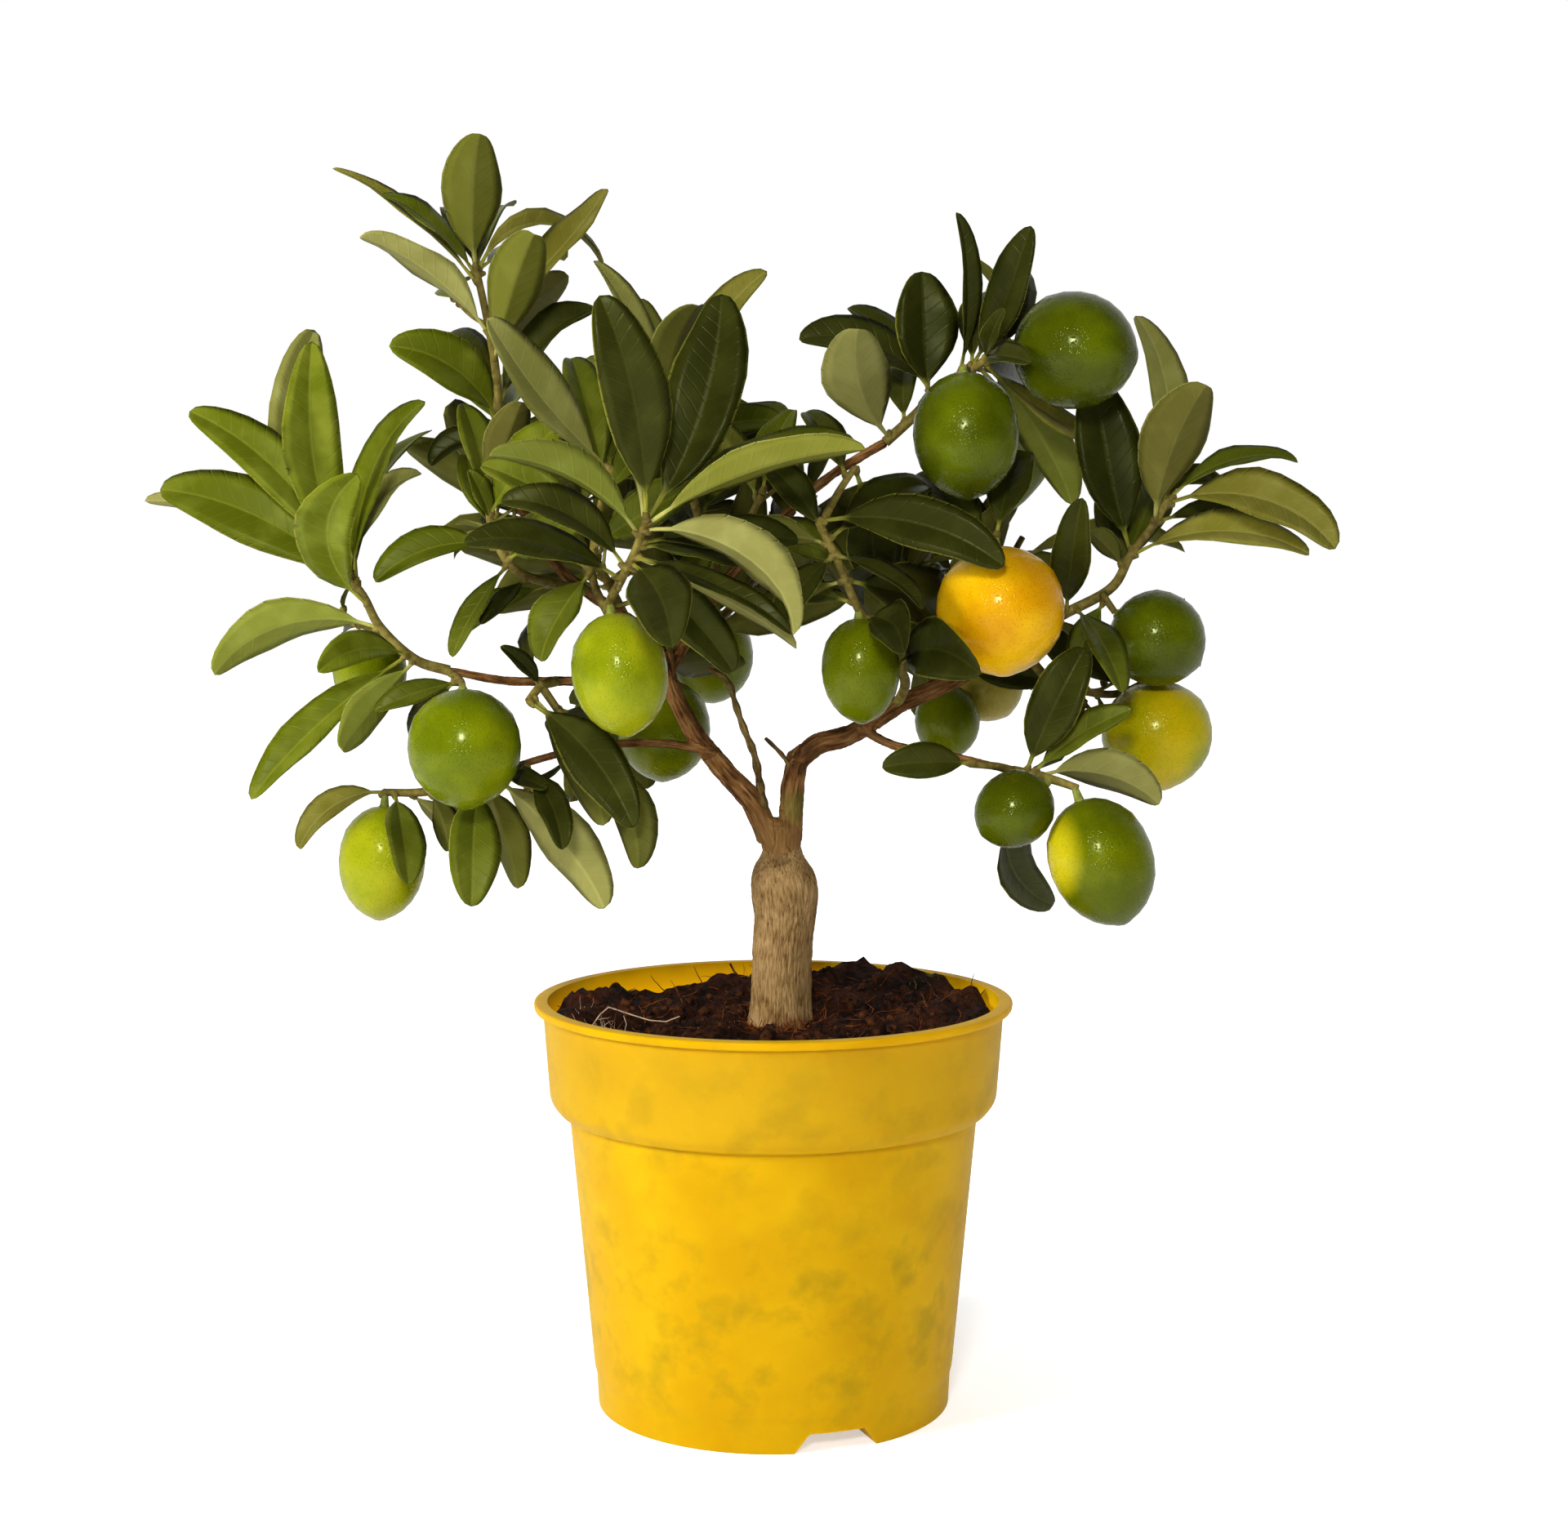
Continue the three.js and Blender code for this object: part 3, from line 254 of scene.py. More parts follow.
def plastic_yellow():
    """Moulded polypropylene: satin, deep warm yellow, a trace of light through the wall, a painted
    glow inside.
    """
    material, tree, shader, place = new_material(
        "satin_yellow_polypropylene",
        IOR=1.49,
        Specular_IOR_Level=0.05,
        Subsurface_Weight=0.55,
        Subsurface_Radius=(1.0, 0.55, 0.08),
        Subsurface_Scale=0.005,
        Emission_Color=paint("#ffbc00"),
    )
    height = add_node(tree, "SeparateXYZ", {"Vector": place}).outputs["Z"]
    # Clouds of uneven pigment, about 30 mm wide
    clouds = clouds_of(tree, place, 32, 3)
    body = ramp(tree, clouds, [(0.3, paint("#c69702")), (0.7, paint("#d5a705"))])
    # The film of algae and peat dust: mottled stains 8 to 25 mm wide
    stretched = add_node(tree, "Mapping", {"Vector": place, "Scale": (1, 1, 1.1)}).outputs["Vector"]
    stains = clouds_of(tree, stretched, 62, 4, Roughness=0.55)
    stained = mapped(tree, stains, 0.48, 0.7, high=0.68)
    low_band = ramp(
        tree,
        mapped(tree, height, end=0.154),
        [
            (0, grey(0.15)), (0.14, grey(0.7)), (0.42, grey(0.75)), (0.6, grey(0.25)),
            (0.76, grey(0.8)), (0.97, grey(0.3)),
        ],
    )
    film = math_of(tree, "MULTIPLY", stained, low_band, use_clamp=True)
    tinted = mixed(tree, film, body, "#8a7a12")
    # Painted shade, partly dust: the collar is dulled below the lip, which is left bright
    collar = ramp(
        tree,
        mapped(tree, height, 0.11, 0.154),
        [(0, grey(0)), (0.1, grey(0.4)), (0.85, grey(0.45)), (0.93, grey(0))],
    )
    dusty_and_shaded = mixed(tree, collar, tinted, "#b68f1a")
    # Painted light: the bare inner wall is painted a brighter yellow and glows, as if lit through
    # the wall and from above
    inner = add_node(tree, "Attribute", attribute_name="inner").outputs["Fac"]
    lit = mixed(tree, inner, dusty_and_shaded, "#ffce0a")
    tree.links.new(math_of(tree, "MULTIPLY", inner, 1.15), shader.inputs["Emission Strength"])
    # Fine scuffs make the gloss uneven, and the wall ripples by half a millimetre
    rough = mapped(tree, clouds_of(tree, place, 260, 4), low=0.34, high=0.52)
    surface(tree, shader, lit, rough, clouds_of(tree, place, 95, 6), 0.5, 0.35)
    return material


# A solid pot, less its inside, from which the roofs of the channels stand up
hollow = spun([(0, FLOOR_TOP), *rounded(POT_INSIDE), (84.9, CUT_TOP), (0, CUT_TOP)])
hollow = added("hollow", mesh_from(hollow, "hollow"))
subtract(hollow, channel_cutter("roofs", WALL))
pot = spun([(0, 0), *rounded(POT_OUTSIDE), (0, POT_TOP)])
pot = added("pot_moulded", mesh_from(pot, "pot_moulded"))
subtract(pot, hollow)
subtract(pot, channel_cutter("channels", 0))
pot.data.shade_smooth()
pot.data.set_sharp_from_angle(angle=math.radians(32))
# The bare band of the inner wall, between the peat's edge and the lip, for the painted glow
INNER_BAND = (118, 153)
inner = [
    float(INNER_BAND[0] < vert.co.z / MM < INNER_BAND[1] and vert.normal.xy.dot(vert.co.xy) < 0)
    for vert in pot.data.vertices
]
pot.data.attributes.new("inner", "FLOAT", "POINT").data.foreach_set("value", inner)
finished(pot, [plastic_yellow()], ["pot"])

# ---------------------------------------------------------------- The peat
# Dark crumbly potting peat that fills the pot to just under its rim, low at the back left and
# heaped at the back right. A spun disc raised into heaps, with loose clods, orange fibres, pale
# roots, a twiglet and a tuft of moss on it.
SOIL_LEVEL, SOIL_EDGE, SOIL_PAD = 145.2, 139.2, 142.4
SOIL_BOTTOM, SOIL_FLAT = 120, 150
SOIL_WALL = 83.4
PAD_RADIUS, PAD_BLEND = 15, 12
# Centre x and y, rise, spread (mm)
HEAPS = ((45, 40, 3.2, 30), (-45, 52, -4.5, 26), (-74, -18, 4, 11))
# Centre x and y, spread along x and y, rise (mm)
LOOSE_HEAPS = (
    (34, 61, 48, 21, 7.5), (74, 10, 16, 38, 5.5), (-72, 14, 16, 34, 6.5), (-44, 48, 36, 30, 2.5),
    (17, -1, 8, 9, 3),
)
LITTER_SEED = 3


def soil_height(x, y):
    """The height of the peat in mm, as the frame has it."""
    lumpy = SOIL_LEVEL + 2.2 * math.sin(x * 0.11 + 1.3) * math.cos(y * 0.13)
    lumpy += 1.3 * math.sin(x * 0.23 - y * 0.19 + 0.7)
    for centre_x, centre_y, rise, spread in HEAPS:
        lumpy += rise * math.exp(-((x - centre_x) ** 2 + (y - centre_y) ** 2) / spread**2)
    share = min(max((math.hypot(x, y) - PAD_RADIUS) / PAD_BLEND, 0), 1)
    return SOIL_PAD + (lumpy - SOIL_PAD) * share * share * (3 - 2 * share)


def crumbs(x, y):
    """How far the crumbs and the loose heaps stand off the level, in mm."""
    broad = noise.fractal(Vector((x / 7.5, y / 7.5, 4)), 0.9, 2, 3)
    fine = noise.fractal(Vector((x / 2.2, y / 2.2, 9)), 0.8, 2, 3)
    loose = 0
    for centre_x, centre_y, spread_x, spread_y, rise in LOOSE_HEAPS:
        across, along = (x - centre_x) / spread_x, (y - centre_y) / spread_y
        loose += rise * math.exp(-(across**2) - along**2)
    return 2.4 * broad + 1.5 * fine + loose


def strands(name, runs, sides=4):
    """One mesh of closed round strands; each run is (points as x, y, z, radius in mm, slot)."""
    curve = bpy.data.curves.new(name, "CURVE")
    curve.dimensions = "3D"
    curve.bevel_depth = MM
    curve.bevel_resolution = max(sides // 2 - 2, 0)
    curve.use_fill_caps = True
    for _ in range(1 + max(slot for _, slot in runs)):
        curve.materials.append(None)
    for points, slot in runs:
        spline = curve.splines.new("POLY")
        spline.points.add(len(points) - 1)
        places = np.asarray(points, float)
        flat = np.column_stack([places[:, :3] * MM, np.ones(len(places))]).ravel()
        spline.points.foreach_set("co", flat)
        spline.points.foreach_set("radius", places[:, 3].copy())
        spline.material_index = slot
    holder = added(name, curve)
    mesh = bpy.data.meshes.new_from_object(
        holder.evaluated_get(bpy.context.evaluated_depsgraph_get())
    )
    bpy.data.objects.remove(holder)
    mesh.shade_smooth()
    mesh.name = name
    return mesh


def peat_material(name, dark, light, bump_mm):
    """Moist peat: near black, matt, with brown crumbs of 1 to 4 mm."""
    material, tree, shader, place = new_material(name, IOR=1.4, Specular_IOR_Level=0.2)
    grains, patches = clouds_of(tree, place, 420, 6), clouds_of(tree, place, 70, 3)
    crumbled = math_of(tree, "MULTIPLY", grains, patches)
    colour = ramp(tree, crumbled, [(0.17, paint(dark)), (0.36, paint(light))])
    surface(tree, shader, colour, mapped(tree, grains, low=0.75), grains, bump_mm, 0.9)
    return material


def fibre_material(name, colour, tip):
    """A dry plant fibre: matt, uneven along its length every few millimetres."""
    material, tree, shader, place = new_material(name, IOR=1.4, Specular_IOR_Level=0.2)
    spots = clouds_of(tree, place, 300, 3)
    colour = ramp(tree, spots, [(0.35, paint(colour)), (0.65, paint(tip))])
    surface(tree, shader, colour, mapped(tree, spots, low=0.6, high=0.9), spots, 0.2, 0.5)
    return material


# A disc in close rings, whose flat top is raised to the heaps and crumbs
rings = [(0, SOIL_BOTTOM), (65.5, SOIL_BOTTOM), (75, SOIL_EDGE), (SOIL_WALL - 0.6, SOIL_EDGE + 1)]
rings += [(radius, SOIL_FLAT) for radius in np.arange(SOIL_WALL, 1, -1.3)] + [(0, SOIL_FLAT)]
bm = spun(rings, 200)
for vert in bm.verts:
    if vert.co.z > (SOIL_FLAT - 1) * MM:
        x, y = vert.co.x / MM, vert.co.y / MM
        rim = min(1, (SOIL_WALL - math.hypot(x, y)) / 3 + 0.25)
        vert.co.z = (soil_height(x, y) + crumbs(x, y) * rim) * MM
bm.normal_update()
peat = added("peat", mesh_from(bm, "peat"))
finished(peat, [peat_material("moist_peat", "#120805", "#3d1f10", 1.3)], ["soil"])

# Clods of peat, 1.5 to 6 mm across: one joined mesh from a lump of a few dozen faces
CLODS = 560
LITTER_REACH, CLOD_REACH, FIBRE_REACH = 82, 83, 82.5
rng = np.random.default_rng(LITTER_SEED)


def scattered(template, placements):
    """A template's vertices and faces repeated by 4x4 placements, as one mesh."""
    corners = np.array([vert.co[:] for vert in template.verts])
    template.verts.index_update()
    loops = [[vert.index for vert in face.verts] for face in template.faces]
    verts, faces = [], []
    for i, placement in enumerate(placements):
        matrix = np.array(placement)
        verts.append(corners @ matrix[:3, :3].T + matrix[:3, 3])
        faces += [[index + i * len(corners) for index in loop] for loop in loops]
    mesh = bpy.data.meshes.new("scattered")
    mesh.from_pydata(np.concatenate(verts).tolist(), [], faces)
    mesh.shade_smooth()
    return mesh


def anywhere(low, high):
    """A place on the peat between two distances from the trunk's foot, in mm."""
    angle = rng.uniform(0, math.tau)
    radius = math.sqrt(rng.uniform((low / high) ** 2, 1)) * high
    x, y = radius * math.cos(angle), radius * math.sin(angle)
    return x, y, soil_height(x, y) + crumbs(x, y) * 0.7


lump = bmesh.new()
bmesh.ops.create_icosphere(lump, subdivisions=2, radius=0.5)
for vert in lump.verts:
    vert.co *= 1 + 0.55 * noise.noise(vert.co * 3.1 + Vector((2, 5, 1)))
placements = []
for _ in range(CLODS):
    x, y, z = anywhere(15, LITTER_REACH)
    size = rng.choice([1.6, 2.2, 3, 4.4, 6], p=[0.3, 0.3, 0.22, 0.12, 0.06])
    if math.hypot(x, y) + size > CLOD_REACH:
        continue
    turn = Matrix.Rotation(rng.uniform(0, math.tau), 4, "Z")
    turn = turn @ Matrix.Rotation(rng.uniform(0, 3), 4, "X")
    spread = Vector((rng.uniform(0.7, 1.3), rng.uniform(0.7, 1.3), 0.7)) * size * MM
    rest = Matrix.Translation(Vector((x, y, z + size * 0.15)) * MM)
    placements.append(rest @ turn @ Matrix.Diagonal((*spread, 1)))
clods = added("peat_clods", scattered(lump, placements))
lump.free()
finished(clods, [peat_material("peat_clods", "#1a0d06", "#522d15", 0.8)], ["soil"])

# Fibres, rootlets and a snapped twiglet lying in the peat, thickest round the root crown, and
# moss at the back right: thin strands with plain colours dealt out by kind
FIBRE_KINDS = dict(orange=0, brown=1, pale=2, moss=3)
FIBRE_STEPS = 5
fibres = []


def wander(x, y, z, heading, rise, length, radius, curl):
    """A strand that wanders from a place on the peat: x, y, z and radius at each step."""
    points = []
    for step in range(FIBRE_STEPS + 1):
        points.append((x, y, z, radius * (1 - 0.6 * step / FIBRE_STEPS)))
        heading += rng.normal(0, curl)
        rise += rng.normal(0, curl * 0.5)
        stride = length / FIBRE_STEPS
        x += stride * math.cos(heading) * math.cos(rise)
        y += stride * math.sin(heading) * math.cos(rise)
        z += stride * math.sin(rise)
        if math.hypot(x, y) > FIBRE_REACH:
            break
    return points if len(points) > 2 else None


def add_fibre(place, kind, **shape):
    run = wander(*place, **shape)
    if run:
        fibres.append((run, FIBRE_KINDS[kind]))


# Loose fibres all over the peat
for _ in range(300):
    x, y, z = anywhere(13, LITTER_REACH)
    add_fibre(
        (x, y, z + 0.6),
        rng.choice(["orange", "brown", "brown"]),
        heading=rng.uniform(0, math.tau),
        rise=rng.uniform(-0.1, 0.5),
        length=rng.uniform(4, 15),
        radius=rng.uniform(0.12, 0.32),
        curl=0.45,
    )
# The collar of fibres round the trunk's foot
for _ in range(110):
    angle = rng.uniform(-2.6, 0.5)
    radius = rng.uniform(12, 17)
    x, y = 3 + radius * math.cos(angle), radius * math.sin(angle)
    add_fibre(
        (x, y, soil_height(x, y) + rng.uniform(0, 2)),
        "orange",
        heading=angle + rng.normal(0, 0.8),
        rise=rng.uniform(-0.3, 0.9),
        length=rng.uniform(3, 10),
        radius=rng.uniform(0.15, 0.4),
        curl=0.4,
    )
# Rootlets at the front left and moss at the back right
TUFTS = (
    # kind, count, middle, spread, then the limits of rise, length and radius
    ("pale", 26, (-66, -30), (5, 6), (0.3, 1.3), (4, 9), (0.1, 0.22)),
    ("moss", 70, (62, 44), (3.2, 3.2), (0.4, 1.4), (2, 6), (0.15, 0.4)),
)
for kind, count, middle, spread, rise, length, radius in TUFTS:
    for _ in range(count):
        x, y = rng.normal(middle[0], spread[0]), rng.normal(middle[1], spread[1])
        add_fibre(
            (x, y, soil_height(x, y) + 0.5),
            kind,
            heading=rng.uniform(0, math.tau),
            rise=rng.uniform(*rise),
            length=rng.uniform(*length),
            radius=rng.uniform(*radius),
            curl=0.5,
        )
# The pale root that loops over the peat at the left, a rootlet beside it, and the twiglet behind
# the trunk: x, y, z and radius (mm)
LOOPED_ROOT = [
    (-66, -34, 149, 0.22), (-63, -33, 153, 0.3), (-60, -32, 155.5, 0.32), (-52, -33, 153, 0.32),
    (-45, -34, 151, 0.3), (-39, -34, 150.5, 0.28), (-34, -34, 152.5, 0.22),
]
ROOTLET = [(-54, -40, 147, 0.2), (-53, -41, 151, 0.24), (-54, -41, 154, 0.15)]
TWIGLET = [(-8, 34, 148, 0.5), (-12, 33, 154, 0.45), (-15.5, 33, 158, 0.4), (-17, 33, 161, 0.45)]
for strand, kind in ((LOOPED_ROOT, "pale"), (ROOTLET, "pale"), (TWIGLET, "brown")):
    fibres.append((strand, FIBRE_KINDS[kind]))
litter = added("peat_fibres", strands("peat_fibres", fibres))
finished(
    litter,
    [
        fibre_material("orange_root_fibre", "#4a2410", "#8c4a1e"),
        fibre_material("brown_root_fibre", "#2a170d", "#553320"),
        fibre_material("pale_rootlet", "#8f7258", "#c4a88c"),
        fibre_material("moss", "#3f4a18", "#6f7a34"),
    ],
    ["soil"],
)

# ---------------------------------------------------------------- The trunk
# A grafted citrus trunk: tan-grey bark with fine upright fissures, flared at the peat, swollen at
# the graft and drawn in above it to a brown neck. Its rings give the shape, a voxel skin joins
# them and the fissures are raised from it.
TRUNK = (
    # height, centre x, half width (mm)
    (142.7, 2.6, 12.2), (148, 2.7, 11.6), (158, 3.0, 11.2), (172, 3.6, 11.2), (184, 4.3, 11.5),
    (193, 4.3, 12.5), (198, 3.8, 12.3), (203, 3.4, 10.6), (206.5, 3.3, 8.4), (210.5, 3.2, 6.9),
    (215, 3.0, 6.0),
)
SKIN_VOXEL = 0.6


class Curve:
    """A smooth curve through places in mm, read by shares of its length."""

    def __init__(self, path):
        points = np.array(path, float)
        ends = [2 * points[0] - points[1], 2 * points[-1] - points[-2]]
        self.points = np.vstack([ends[0], points, ends[1]])
        self.runs = len(points) - 1
        self.params = np.linspace(0, 1, 201)
        places = self.at_param(self.params)
        self.lengths = np.append(0, np.cumsum(np.linalg.norm(np.diff(places, axis=0), axis=1)))
        self.length = self.lengths[-1]

    def at_param(self, params):
        params = np.atleast_1d(params) * self.runs
        run = np.minimum(params.astype(int), self.runs - 1)
        weight = (params - run)[:, None]
        p0, p1, p2, p3 = (self.points[run + i] for i in range(4))
        d0, d1, d2 = (
            np.maximum(np.sum((b - a) ** 2, axis=1) ** 0.25, 1e-4)[:, None]
            for a, b in ((p0, p1), (p1, p2), (p2, p3))
        )
        leave = ((p1 - p0) / d0 - (p2 - p0) / (d0 + d1) + (p2 - p1) / d1) * d1
        reach = ((p2 - p1) / d1 - (p3 - p1) / (d1 + d2) + (p3 - p2) / d2) * d1
        square = -3 * p1 + 3 * p2 - 2 * leave - reach
        cube = 2 * p1 - 2 * p2 + leave + reach
        return p1 + leave * weight + square * weight**2 + cube * weight**3

    def at(self, share):
        param = np.interp(np.asarray(share) * self.length, self.lengths, self.params)
        places = self.at_param(param)
        return places if np.ndim(share) else places[0]

    def tangent(self, share):
        param = np.interp(share * self.length, self.lengths, self.params)
        low, high = max(param - 1e-4, 0), min(param + 1e-4, 1)
        step = self.at_param(high)[0] - self.at_param(low)[0]
        return step / np.linalg.norm(step)


def tube_run(curve, radii, spacing=1.5, knobs=0):
    """Points and radii along a curve, tapering evenly, with a knob at every other step."""
    steps = max(2, round(curve.length / spacing))
    shares = np.linspace(0, 1, steps + 1)
    radius = np.interp(shares, [0, 1], radii) * (1 + knobs * (np.arange(steps + 1) % 2))
    return np.column_stack([curve.at(shares), radius])


def skinned(piece, voxel_mm, smoothing):
    """One closed skin round the piece's joined tubes."""
    skin = piece.modifiers.new("skin", "REMESH")
    skin.mode = "VOXEL"
    skin.voxel_size = voxel_mm * MM
    soften = piece.modifiers.new("soften", "SMOOTH")
    soften.factor = 0.5
    soften.iterations = smoothing
    return applied(piece)


def raise_bark(piece, runs, relief, lengthwise, across):
    """Raises ridges that run along the limb; keeps each vertex's place along and round it."""
    frames = []
    for points in runs:
        tangent = np.gradient(points[:, :3], axis=0)
        tangent /= np.linalg.norm(tangent, axis=1)[:, None]
        normal = np.cross(tangent[0], (0.0, 1.0, 0.0))
        along = 0
        for i, point in enumerate(points):
            normal = normal - tangent[i] * normal.dot(tangent[i])
            normal /= np.linalg.norm(normal)
            along += np.linalg.norm(point[:3] - points[max(i - 1, 0), :3])
            frames.append((point[:3], tangent[i], normal, along, point[3]))
    tree = KDTree(len(frames))
    for i, found in enumerate(frames):
        tree.insert(found[0] * MM, i)
    tree.balance()
    mesh = piece.data
    count = len(mesh.vertices)
    grain, girth, places = np.zeros((count, 3)), np.zeros(count), np.zeros((count, 3))
    for i, vert in enumerate(mesh.vertices):
        _, nearest, _ = tree.find(vert.co)
        centre, tangent, normal, along, radius = frames[nearest]
        offset = np.array(vert.co) / MM - centre
        out, side = offset.dot(normal), offset.dot(np.cross(tangent, normal))
        size = max(math.hypot(out, side), 1e-3)
        grain[i] = (out / size * radius, side / size * radius, along + offset.dot(tangent))
        girth[i] = radius
        fissure = noise.fractal(Vector(grain[i] / (across, across, lengthwise)), 0.8, 2, 3)
        lumps = noise.noise(Vector(grain[i] / 7))
        height = relief * (0.5 - abs(fissure) * 1.6) + relief * 0.9 * lumps
        places[i] = np.array(vert.co) + np.array(vert.normal) * height * min(1, radius / 3) * MM
    mesh.vertices.foreach_set("co", places.ravel())
    mesh.update()
    mesh.attributes.new("grain", "FLOAT_VECTOR", "POINT").data.foreach_set("vector", grain.ravel())
    mesh.attributes.new("girth", "FLOAT", "POINT").data.foreach_set("value", girth)
    mesh.shade_smooth()


def averaged(tree, share, value, other):
    return add_node(tree, "Mix", {0: share, 2: value, 3: other}, data_type="FLOAT").outputs[0]


def bark_material(name, dark, mid, light, dark_below, fissure_mm=1.3, stretch=0.1, scars=()):
    """Citrus bark: matt, fissured along the limb every 1 to 2 mm, lighter on its ridges."""
    material, tree, shader, place = new_material(name, IOR=1.42, Specular_IOR_Level=0.15)
    grain = add_node(tree, "Attribute", attribute_name="grain").outputs["Vector"]
    fine = (1 / fissure_mm, 1 / fissure_mm, stretch)
    stretched = add_node(tree, "Mapping", {"Vector": grain, "Scale": fine}).outputs["Vector"]
    fissures = clouds_of(tree, stretched, 1, 6, Roughness=0.62)
    # Blotches about 9 mm wide
    mottled = averaged(tree, 0.35, fissures, clouds_of(tree, place, 110, 3))
    stops = [(dark_below, paint(dark)), (dark_below + 0.1, paint(mid)), (0.66, paint(light))]
    colour = ramp(tree, mottled, stops)
    # Darker or greener bark round old wounds and forks: place and reach (mm), colour, strength
    for scar_place, reach, scar_colour, strength in scars:
        apart = add_node(
            tree, "VectorMath", {0: place, 1: [c * MM for c in scar_place]}, operation="DISTANCE"
        ).outputs["Value"]
        close = mapped(tree, apart, reach * MM, reach * 0.35 * MM, high=strength, smooth=True)
        colour = mixed(tree, close, colour, scar_colour)
    surface(tree, shader, colour, mapped(tree, mottled, low=0.7, high=0.95), fissures, 1.4, 0.9)
    return material


trunk_run = Curve([(x, 0, z, radius) for z, x, radius in TRUNK]).at(np.linspace(0, 1, 60))
trunk = added("trunk_bark", strands("trunk_bark", [(trunk_run, 0)], sides=48))
# The root flare: three low buttresses that die out 10 mm above the peat
foot_height, foot_x = TRUNK[0][0], TRUNK[0][1] * MM
for vert in trunk.data.vertices:
    above = vert.co.z / MM - foot_height
    angle = math.atan2(vert.co.y, vert.co.x - foot_x)
    flare = 1 + 0.1 * math.exp(-above / 5) * max(0, math.cos(2.5 * angle - 1))
    vert.co.x = foot_x + (vert.co.x - foot_x) * flare
    vert.co.y *= flare * 0.95
skinned(trunk, SKIN_VOXEL, 2)
raise_bark(trunk, [trunk_run], relief=0.42, lengthwise=7, across=1.5)
finished(
    trunk,
    [
        bark_material(
            "trunk_bark", "#5c4123", "#967648", "#c29f6c", 0.38,
            fissure_mm=0.75,
            stretch=0.2,
            scars=(
                ((3, 0, 217), 12, "#6b4624", 0.8),
                ((2.4, -7.5, 207), 5, "#4a3018", 0.5),
                ((3, -4, 142), 13, "#5a3417", 0.65),
            ),
        )
    ],
    ["trunk"],
)

# ---------------------------------------------------------------- The boughs and branches
# Brown ridged limbs that leave the neck left and right and carry the crown. Tapering tubes on
# smooth curves, joined under one voxel skin, with lengthwise ridges raised from it.
LIMBS = dict(
    # radii at root and tip, then the places that the limb passes (mm)
    right_leader=((4.6, 4.1), [(6.2, 0, 213), (6.8, 0, 226), (7.6, 0, 236), (9.6, 0, 245.5)]),
    left_bough=((4.6, 2.9), [
        (-1.5, 0, 214), (-8, -1, 228), (-17, -2, 238), (-30, -5, 255), (-38, -8, 272),
        (-40, -8, 284),
    ]),
    right_bough=((4.1, 2.5), [
        (8.8, 0, 243), (17, -1, 249.5), (28, -2, 252.6), (46, -5, 264), (66, -8, 273.5),
        (87, -8, 285), (106, -10, 297.5),
    ]),
    left_branch=((2, 1.5), [
        (-38.4, -8, 274), (-60, -11, 273.5), (-80, -12, 273.5), (-99, -10, 273.5), (-120, -6, 277),
    ]),
    lower_left_branch=((1.7, 1.3), [
        (-24, -4, 247), (-40, -7, 250), (-57, -8, 250), (-80, -8, 246), (-104, -8, 239),
    ]),
    top_left_branch=((2.6, 1.7), [
        (-40, -8, 280), (-46, 0, 290), (-60, 9, 299), (-80, 12, 314), (-99, 6, 345),
    ]),
    top_right_branch=((2.4, 1.7), [
        (-38.6, -7.6, 277), (-33, 2, 287), (-23, 8, 303), (-1, 5, 329), (20, -5, 348),
        (41, -12, 361),
    ]),
    lower_right_branch=((1.8, 1.3), [
        (33, -3, 255), (45, -10, 249.5), (65, -25, 247), (86, -42, 243),
    ]),
)
limb_curves = {name: (Curve(path), radii) for name, (radii, path) in LIMBS.items()}
limb_runs = [tube_run(*limb) for limb in limb_curves.values()]
# The neck that the two leaders spring from, with its radius at each height
NECK = [(3.2, 0, 206), (3.2, 0, 210), (3.0, 0, 214), (2.8, 0, 218), (3.2, 0, 221)]
NECK_HEIGHTS, NECK_RADII = (206, 210, 215, 218, 221), (6.4, 7.1, 7.9, 7.6, 5.2)
neck = Curve(NECK).at(np.linspace(0, 1, 12))
limb_runs.append(np.column_stack([neck, np.interp(neck[:, 2], NECK_HEIGHTS, NECK_RADII)]))
boughs = added("bough_bark", strands("bough_bark", [(run, 0) for run in limb_runs], sides=16))
skinned(boughs, SKIN_VOXEL, 3)
raise_bark(boughs, limb_runs, relief=0.42, lengthwise=7, across=1.5)
finished(
    boughs,
    [
        bark_material(
            "bough_bark", "#37220e", "#6f4a25", "#a1794a", 0.4,
            fissure_mm=1.1,
            scars=(
                ((3, 0, 205), 28, "#94703f", 0.5),
                ((9, -3, 226), 9, "#5c5a22", 0.6),
                ((14, -3, 247), 6, "#3a2412", 0.6),
            ),
        )
    ],
    list(LIMBS),
)

# ---------------------------------------------------------------- The dead twig and stub
# A bare greenish-brown twig with a knob at each old bud, and a snapped stub. Thin tubes, thicker
# at every other step, under one skin.
DEAD_TWIG = [
    (-3, -1, 224), (-5, -7, 235), (-7, -8, 246), (-11, -9, 256), (-14, -10, 265), (-17, -11, 274),
    (-24, -12, 278),
]
DEAD_STUB = [(7, -1, 240), (3, -5, 246), (-3, -6, 252)]
limb_curves["dead_twig"] = (Curve(DEAD_TWIG), (1.3, 0.9))
limb_curves["dead_stub"] = (Curve(DEAD_STUB), (0.9, 0.7))
dead_runs = [
    tube_run(*limb_curves["dead_twig"], spacing=4, knobs=0.45),
    tube_run(*limb_curves["dead_stub"], spacing=3, knobs=0.2),
]
dead = added("dead_wood", strands("dead_wood", [(run, 0) for run in dead_runs], sides=12))
skinned(dead, 0.3, 2)
raise_bark(dead, dead_runs, relief=0.3, lengthwise=4, across=1)
finished(
    dead,
    [bark_material("dead_wood", "#2e2010", "#5d4a26", "#8c7745", 0.4)],
    ["dead_twig", "dead_stub"],
)
